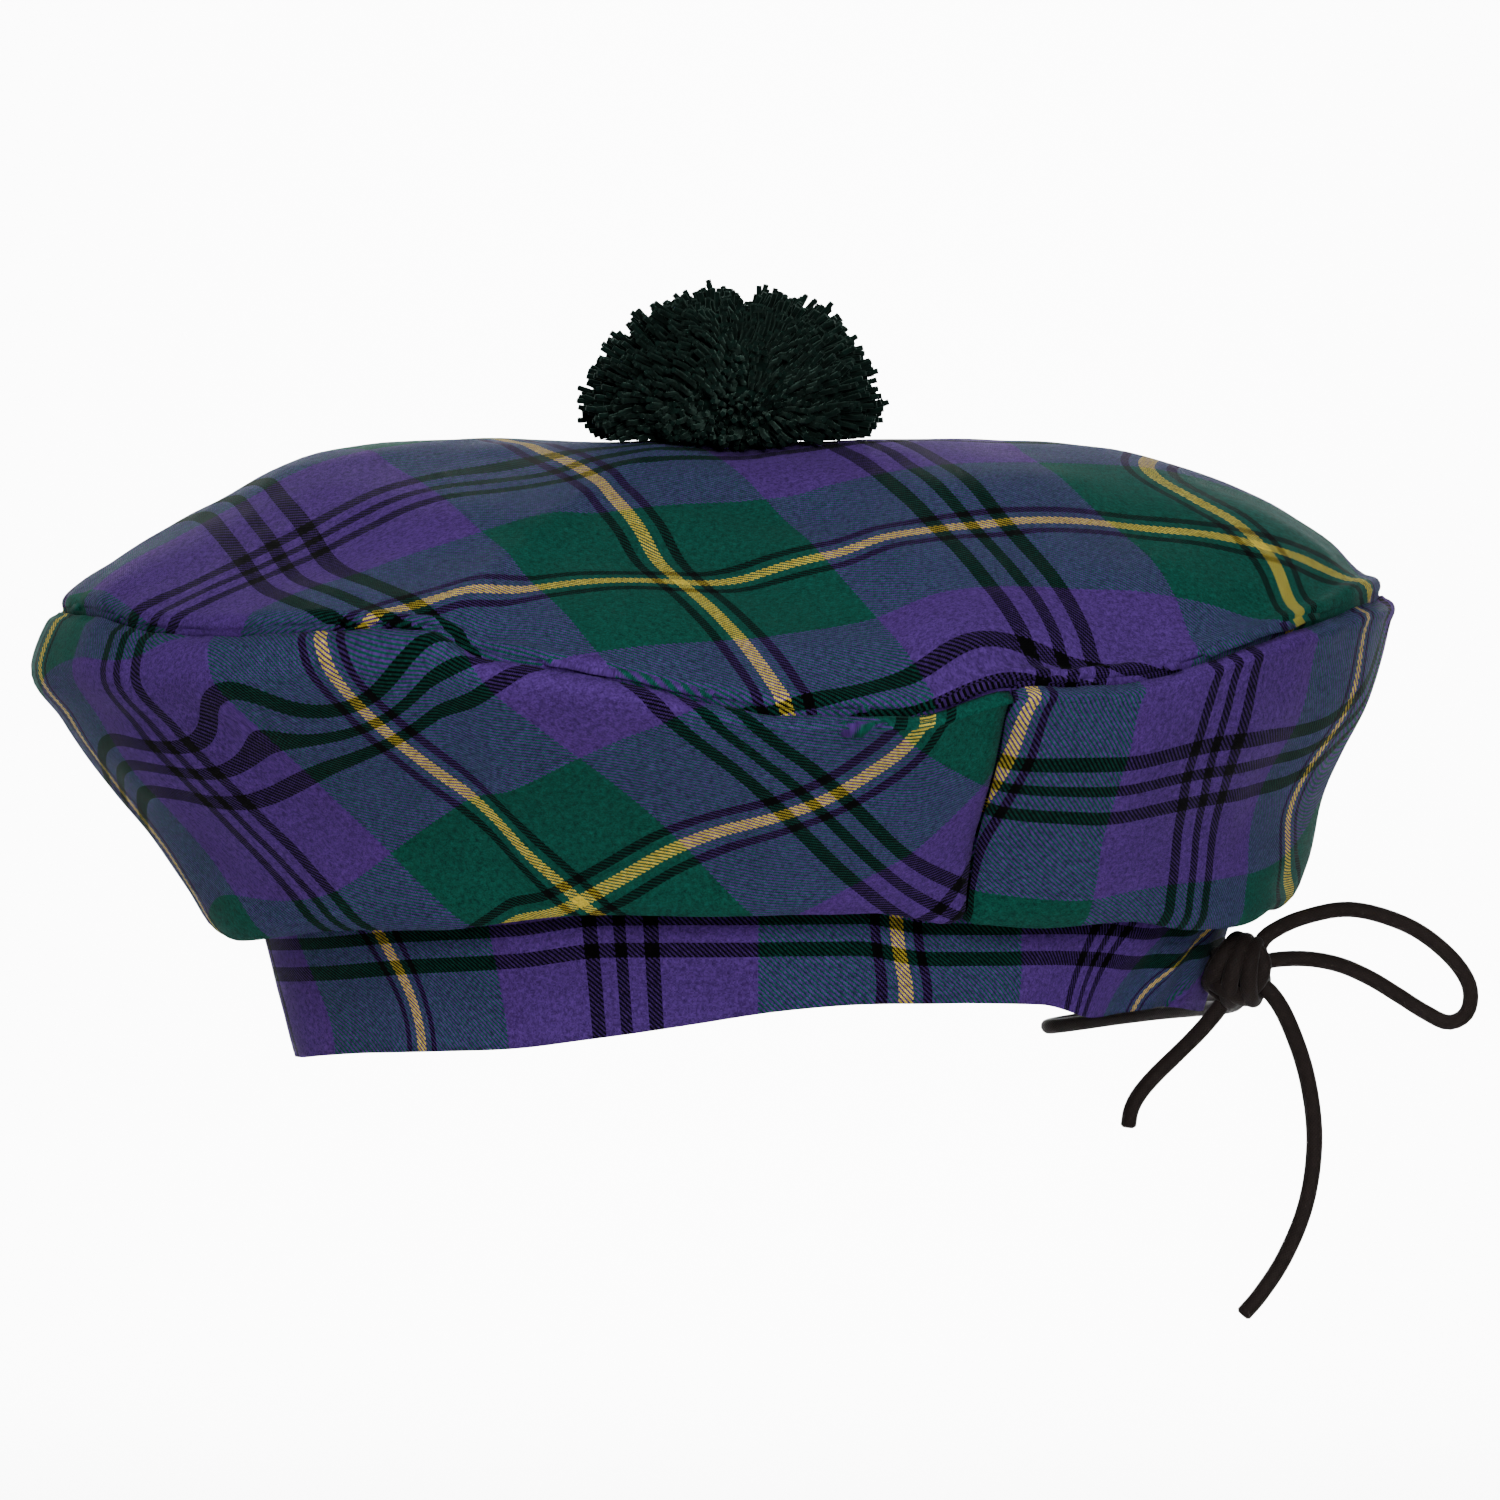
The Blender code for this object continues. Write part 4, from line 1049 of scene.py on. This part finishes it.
def strand_tree():
    """Geometry nodes that grow strands of yarn from the pompom's heart to its outline."""
    tree = bpy.data.node_groups.new("pompom_strands", "GeometryNodeTree")
    sockets = (
        ("Geometry", "INPUT", "Geometry"), ("Strands per square metre", "INPUT", "Float"),
        ("Strand radius", "INPUT", "Float"), ("Wander", "INPUT", "Float"),
        ("Heart", "INPUT", "Vector"), ("Seed", "INPUT", "Int"), ("Wool", "INPUT", "Material"),
        ("Geometry", "OUTPUT", "Geometry"),
    )
    for name, way, kind in sockets:
        tree.interface.new_socket(name, in_out=way, socket_type="NodeSocket" + kind)
    given = node_at(tree, "NodeGroupInput", (0, 0)).outputs

    scatter = node_at(tree, "GeometryNodeDistributePointsOnFaces", (1, 0), {
        "Mesh": given["Geometry"], "Density": given["Strands per square metre"],
        "Seed": given["Seed"]})
    where = node_at(tree, "GeometryNodeInputPosition", (0, 3)).outputs[0]
    ray = vector_node(tree, "SUBTRACT", (1, 3), {0: where, 1: given["Heart"]}, "way from the heart")
    keep = node_at(tree, "GeometryNodeStoreNamedAttribute", (2, 0), {
        "Name": "ray", "Geometry": scatter.outputs["Points"], "Value": ray[0]},
        data_type="FLOAT_VECTOR", domain="POINT")
    gather = node_at(tree, "GeometryNodeSetPosition", (3, 0), {
        "Geometry": keep.outputs[0], "Position": given["Heart"]}, "all at the heart")

    kept = node_at(tree, "GeometryNodeInputNamedAttribute", (2, 3), {"Name": "ray"},
                   data_type="FLOAT_VECTOR").outputs[0]
    align = node_at(tree, "FunctionNodeAlignRotationToVector", (3, 3), {"Vector": kept}, axis="Z")
    reach = vector_node(tree, "LENGTH", (3, 4), {0: kept}, "reach")
    trim = node_at(tree, "FunctionNodeRandomValue", (3, 5), {
        2: STRAND_TRIM[0], 3: STRAND_TRIM[1], "Seed": given["Seed"]}, "trimmed length",
        data_type="FLOAT")
    length = math_node(tree, "MULTIPLY", (4, 4), reach["Value"], trim.outputs[1])

    strand = node_at(tree, "GeometryNodeCurvePrimitiveLine", (3, 1), {
        "Start": (0.0, 0.0, 0.50), "End": (0.0, 0.0, 1.0)})
    steps = node_at(tree, "GeometryNodeResampleCurve", (4, 1), {
        "Curve": strand.outputs[0], "Count": 7})
    copies = node_at(tree, "GeometryNodeInstanceOnPoints", (5, 0), {
        "Points": gather.outputs[0], "Instance": steps.outputs[0],
        "Rotation": align.outputs[0], "Scale": length})
    real = node_at(tree, "GeometryNodeRealizeInstances", (6, 0), {0: copies.outputs[0]})

    place = node_at(tree, "GeometryNodeInputPosition", (5, 3)).outputs[0]
    sway = node_at(tree, "ShaderNodeTexNoise", (6, 3), {
        "Scale": 95.0, "Detail": 2.5, "Vector": place}, "sway")
    level = vector_node(tree, "SUBTRACT", (7, 3), {
        0: sway.outputs["Color"], 1: (0.5, 0.5, 0.5)}, "about nothing")
    along = node_at(tree, "GeometryNodeSplineParameter", (6, 5)).outputs["Factor"]
    amount = math_node(tree, "MULTIPLY", (7, 5), along, given["Wander"])
    triple = math_node(tree, "MULTIPLY", (8, 5), amount, 3.0)
    shift = vector_node(tree, "SCALE", (9, 3), {0: level[0], "Scale": triple}, "shift")
    move = node_at(tree, "GeometryNodeSetPosition", (9, 0), {
        "Geometry": real.outputs[0], "Offset": shift[0]}, "let it wander")

    tip = math_node(tree, "POWER", (8, 7), along, 6.0)
    narrow = math_node(tree, "MULTIPLY_ADD", (9, 7), tip, -0.45, 1.0)
    full = node_at(tree, "GeometryNodeSetCurveRadius", (10, 0), {
        "Curve": move.outputs[0], "Radius": narrow})
    ring = node_at(tree, "GeometryNodeCurvePrimitiveCircle", (10, 2), {
        "Resolution": 5, "Radius": given["Strand radius"]})
    yarn = node_at(tree, "GeometryNodeCurveToMesh", (11, 0), {
        "Fill Caps": True, "Curve": full.outputs[0], "Profile Curve": ring.outputs[0]})
    paint = node_at(tree, "GeometryNodeSetMaterial", (12, 0), {
        "Geometry": yarn.outputs[0], "Material": given["Wool"]})
    node_at(tree, "NodeGroupOutput", (13, 0), {0: paint.outputs[0]})
    return tree


def add_lamp(name, place, aim, size, power, spread):
    light = bpy.data.lights.new(name, "AREA")
    light.shape = "DISK"
    light.size = size
    light.energy = power
    light.spread = math.radians(spread)
    lamp = bpy.data.objects.new(name, light)
    lamp.location = place
    lamp.rotation_euler = (aim - Vector(place)).to_track_quat("-Z", "Y").to_euler()
    bpy.context.scene.collection.objects.link(lamp)


class HAT_OT_stage(bpy.types.Operator):
    """Adds the pale studio, its lights and the camera at the photograph's angle"""
    bl_idname = "hat.stage"
    bl_label = "Studio and camera"

    def execute(self, context):
        settings = context.scene.hat_stage
        low = -settings.floor_drop
        profile = [(FLOOR_FRONT, low), (WALL_FOOT, low)]
        for i in range(1, 9):
            turn = math.radians(90.0 * i / 8)
            profile.append((WALL_FOOT + WALL_BEND * math.sin(turn),
                            low + WALL_BEND - WALL_BEND * math.cos(turn)))
        profile.append((WALL_FOOT + WALL_BEND, low + WALL_HEIGHT))
        sheet = bmesh.new()
        sides = (-FLOOR_WIDTH / 2.0, FLOOR_WIDTH / 2.0)
        rows = [[sheet.verts.new((x, y, z)) for x in sides] for y, z in profile]
        for start, end in zip(rows, rows[1:]):
            sheet.faces.new((start[0], start[1], end[1], end[0]))
        mesh = bpy.data.meshes.new("studio_floor")
        sheet.to_mesh(mesh)
        sheet.free()
        mesh.shade_smooth()
        floor = link_piece("studio_floor", mesh, stage_material())

        world = bpy.data.worlds.new("studio_light")
        world.use_nodes = True
        sky = world.node_tree.nodes["Background"]
        sky.inputs["Color"].default_value = (1.0, 1.0, 1.0, 1.0)
        sky.inputs["Strength"].default_value = SKY_STRENGTH
        context.scene.world = world
        middle = Vector((0.0, 0.0, settings.aim_height))
        for name, place, spot, size, power, spread in LAMPS:
            add_lamp(name, place, Vector(spot) if spot else middle, size, power, spread)

        camera = bpy.data.cameras.new("photo_camera")
        camera.sensor_fit = "HORIZONTAL"
        camera.lens = camera.sensor_width * settings.distance / settings.frame_width
        view = bpy.data.objects.new("photo_camera", camera)
        tilt = settings.elevation
        back = Vector((0.0, -math.cos(tilt), math.sin(tilt)))
        view.location = middle + back * settings.distance
        view.rotation_euler = (math.pi / 2.0 - tilt, 0.0, 0.0)
        camera.clip_end = 50.0
        context.scene.collection.objects.link(view)
        context.scene.camera = view
        return {"FINISHED"}


class HAT_OT_bow(bpy.types.Operator):
    """Adds the cord's knot, its two loops and its two free ends"""
    bl_idname = "hat.bow"
    bl_label = "Cord bow"

    def execute(self, context):
        settings = context.scene.hat_cord
        material = cord_material(settings)
        knot = bow_knot(settings)
        put_in_place(knot, "tie_knot")
        for name, node, route, far_end, lay, flatten, twist in BOW_CORDS:
            route = tucked_in(route, both_ends=far_end == "object")
            points, length = along_route(route, settings.diameter * 0.4)
            mesh = tube_mesh(name, points, settings.diameter / 2.0, flatten=flatten, twist=twist)
            piece = link_piece(name, mesh, material)
            put_in_place(piece, node)
        return {"FINISHED"}


class HAT_OT_crown(bpy.types.Operator):
    """Adds the domed top of the crown"""
    bl_idname = "hat.crown"
    bl_label = "Crown"

    def execute(self, context):
        settings = context.scene.hat_cloth
        angles = np.arange(settings.segments) * 360.0 / settings.segments
        points = refine(crown_columns(angles)[0], CROWN_STEPS)
        runs = run_lengths(points)
        to_rim = np.abs(runs[:, RIM_ROW:RIM_ROW + 1] - runs)
        lumps = soft_lumps(points, CROWN_LUMPS) + rim_puckers(points, angles, to_rim)
        roll = rolled_in(RIM_ROLL, to_rim)
        points = points + grid_normals(points, True) * (lumps - roll)[..., None]
        turn = np.radians(angles)[:, None]
        flat = np.stack([runs * np.sin(turn), -runs * np.cos(turn)], axis=-1)
        cloth = lay_cloth(flat, runs, angles, settings.sett, CROWN_CUT, CROWN_PULLS)
        middle = (tuple(points[:, 0].mean(axis=0)), tuple(cloth[:, 0].mean(axis=0)))
        piece = cloth_object("crown_cloth", points[:, 1:], cloth[:, 1:], True, settings, middle)
        put_in_place(piece, "crown_top")
        return {"FINISHED"}


class HAT_OT_under_crown(bpy.types.Operator):
    """Adds the two halves of the under crown, from the rim seam to the band"""
    bl_idname = "hat.under_crown"
    bl_label = "Under crown"

    def execute(self, context):
        settings = context.scene.hat_cloth
        halves = (
            ("front", SEAM_SIDE - 180.0, FRONT_CUT, FRONT_PULLS),
            ("back", SEAM_SIDE, BACK_CUT, BACK_PULLS),
        )
        margin = math.degrees(SEAM_GAP / FOLD_BREADTH)
        for name, start, cut, pulls in halves:
            end = start + 180.0
            angles = np.linspace(start + margin, end - margin, settings.segments // 2 + 1)
            points = refine(panel_columns(angles), PANEL_STEPS)
            runs = run_lengths(points)
            lumps = soft_lumps(points, PANEL_LUMPS) + rim_puckers(points, angles, runs)
            to_edge = np.minimum(angles - start, end - angles)[:, None] * SEAM_SCALE
            roll = rolled_in(RIM_ROLL, runs) + rolled_in(SIDE_ROLL, to_edge)
            free = np.clip((runs[:, -1:] - runs) / SEWN_DOWN, 0.0, 1.0)
            points = points + grid_normals(points, False) * ((lumps - roll) * free)[..., None]
            cloth = lay_cloth(unroll_cone(points, runs), runs, angles, settings.sett, cut, pulls)
            piece = cloth_object("under_crown_" + name, points, cloth, False, settings)
            put_in_place(piece, "under_panel_" + name)
        return {"FINISHED"}


class HAT_OT_headband(bpy.types.Operator):
    """Adds the headband with its gathers beside the knot"""
    bl_idname = "hat.headband"
    bl_label = "Headband"

    def execute(self, context):
        settings = context.scene.hat_cloth
        angles = np.linspace(BAND_SEAM, BAND_SEAM + 360.0, settings.segments + 1)
        shares = np.linspace(0.0, 1.0, BAND_ROWS)
        points = np.stack([band_row(angles, share) for share in shares], axis=1)
        lumps = soft_lumps(points, BAND_LUMPS)
        normals = grid_normals(points[:-1], True)
        points[:-1] += normals * (lumps[:-1] * shares[None, :])[..., None]
        points[-1] = points[0]
        runs = run_lengths(points)
        around = line_lengths(points[:, BAND_ROWS // 2])
        flat = np.stack([around[:, None] + 0.0 * runs, -runs], axis=-1)
        cloth = lay_cloth(flat, runs, angles, settings.sett, BAND_CUT, BAND_PULLS)
        piece = cloth_object("headband_cloth", points, cloth, False, settings)
        put_in_place(piece, "headband")
        return {"FINISHED"}


class HAT_OT_pompom(bpy.types.Operator):
    """Adds the wool pompom on the middle of the crown"""
    bl_idname = "hat.pompom"
    bl_label = "Pompom"

    def execute(self, context):
        settings = context.scene.hat_pompom
        wool = pompom_material(settings)
        outline, heart = pompom_envelope(5)
        grower = bpy.data.objects.new("pompom_grower", outline)
        context.scene.collection.objects.link(grower)
        tree = strand_tree()
        growing = grower.modifiers.new("strands", "NODES")
        growing.node_group = tree
        values = {
            "Strands per square metre": 1.0 / settings.spacing ** 2,
            "Strand radius": settings.strand_radius,
            "Wander": settings.wander,
            "Heart": tuple(heart),
            "Seed": 4,
            "Wool": wool,
        }
        for item in tree.interface.items_tree:
            if item.in_out == "INPUT" and item.name in values:
                growing[item.identifier] = values[item.name]
        context.view_layer.update()
        ready = grower.evaluated_get(context.evaluated_depsgraph_get())
        strands = bpy.data.meshes.new_from_object(ready)
        fused = bmesh.new()
        fused.from_mesh(strands)
        core = pompom_envelope(4)[0]
        shrink = Matrix.Scale(POMPOM_CORE, 4)
        core.transform(Matrix.Translation(heart) @ shrink @ Matrix.Translation(-heart))
        fused.from_mesh(core)
        cloth = bpy.data.objects["crown_cloth"]
        crown = BVHTree.FromObject(cloth, context.evaluated_depsgraph_get())
        for vertex in fused.verts:
            if vertex.co.z < POMPOM_LOW.z + POMPOM_SAG:
                above = Vector((vertex.co.x, vertex.co.y, POMPOM_HIGH.z))
                seat = crown.ray_cast(above, Vector((0.0, 0.0, -1.0)))[0]
                vertex.co.z = max(vertex.co.z, seat.z + SEAM_GAP)
        mesh = bpy.data.meshes.new("pompom_yarn")
        fused.to_mesh(mesh)
        fused.free()
        bpy.data.objects.remove(grower)
        for spare in (strands, core, outline):
            bpy.data.meshes.remove(spare)
        mesh.materials.clear()
        mesh.shade_smooth()
        piece = link_piece("pompom_yarn", mesh, wool)
        put_in_place(piece, "pompom")
        return {"FINISHED"}


class HAT_PT_panel(bpy.types.Panel):
    """Lists the hat's settings and the steps that build it"""
    bl_idname = "HAT_PT_panel"
    bl_label = "Tam o' shanter"
    bl_space_type = "VIEW_3D"
    bl_region_type = "UI"
    bl_category = "Tam o' shanter"

    def draw(self, context):
        for title, group, steps in SECTIONS:
            box = self.layout.box()
            box.label(text=title)
            settings = getattr(context.scene, group)
            for name in settings.bl_rna.properties.keys():
                if name not in ("rna_type", "name"):
                    box.prop(settings, name)
            for step in steps:
                box.operator(step)


SECTIONS = (
    ("Studio", "hat_stage", ("hat.stage",)),
    ("Cord", "hat_cord", ("hat.bow",)),
    ("Cloth", "hat_cloth", ("hat.crown", "hat.under_crown", "hat.headband")),
    ("Pompom", "hat_pompom", ("hat.pompom",)),
)

GROUPS = {
    "hat_cloth": HatClothSettings, "hat_pompom": HatPompomSettings,
    "hat_cord": HatCordSettings, "hat_stage": HatStageSettings,
}

CLASSES = (
    *GROUPS.values(), HAT_OT_stage, HAT_OT_bow, HAT_OT_crown, HAT_OT_under_crown,
    HAT_OT_headband, HAT_OT_pompom, HAT_PT_panel,
)


def register():
    for kind in CLASSES:
        bpy.utils.register_class(kind)
    for group, kind in GROUPS.items():
        setattr(bpy.types.Scene, group, bpy.props.PointerProperty(type=kind))


def unregister():
    for group in GROUPS:
        delattr(bpy.types.Scene, group)
    for kind in reversed(CLASSES):
        bpy.utils.unregister_class(kind)


def main():
    register()
    bpy.ops.hat.stage()
    bpy.ops.hat.bow()
    bpy.ops.hat.crown()
    bpy.ops.hat.under_crown()
    bpy.ops.hat.headband()
    bpy.ops.hat.pompom()


if __name__ == "__main__":
    main()
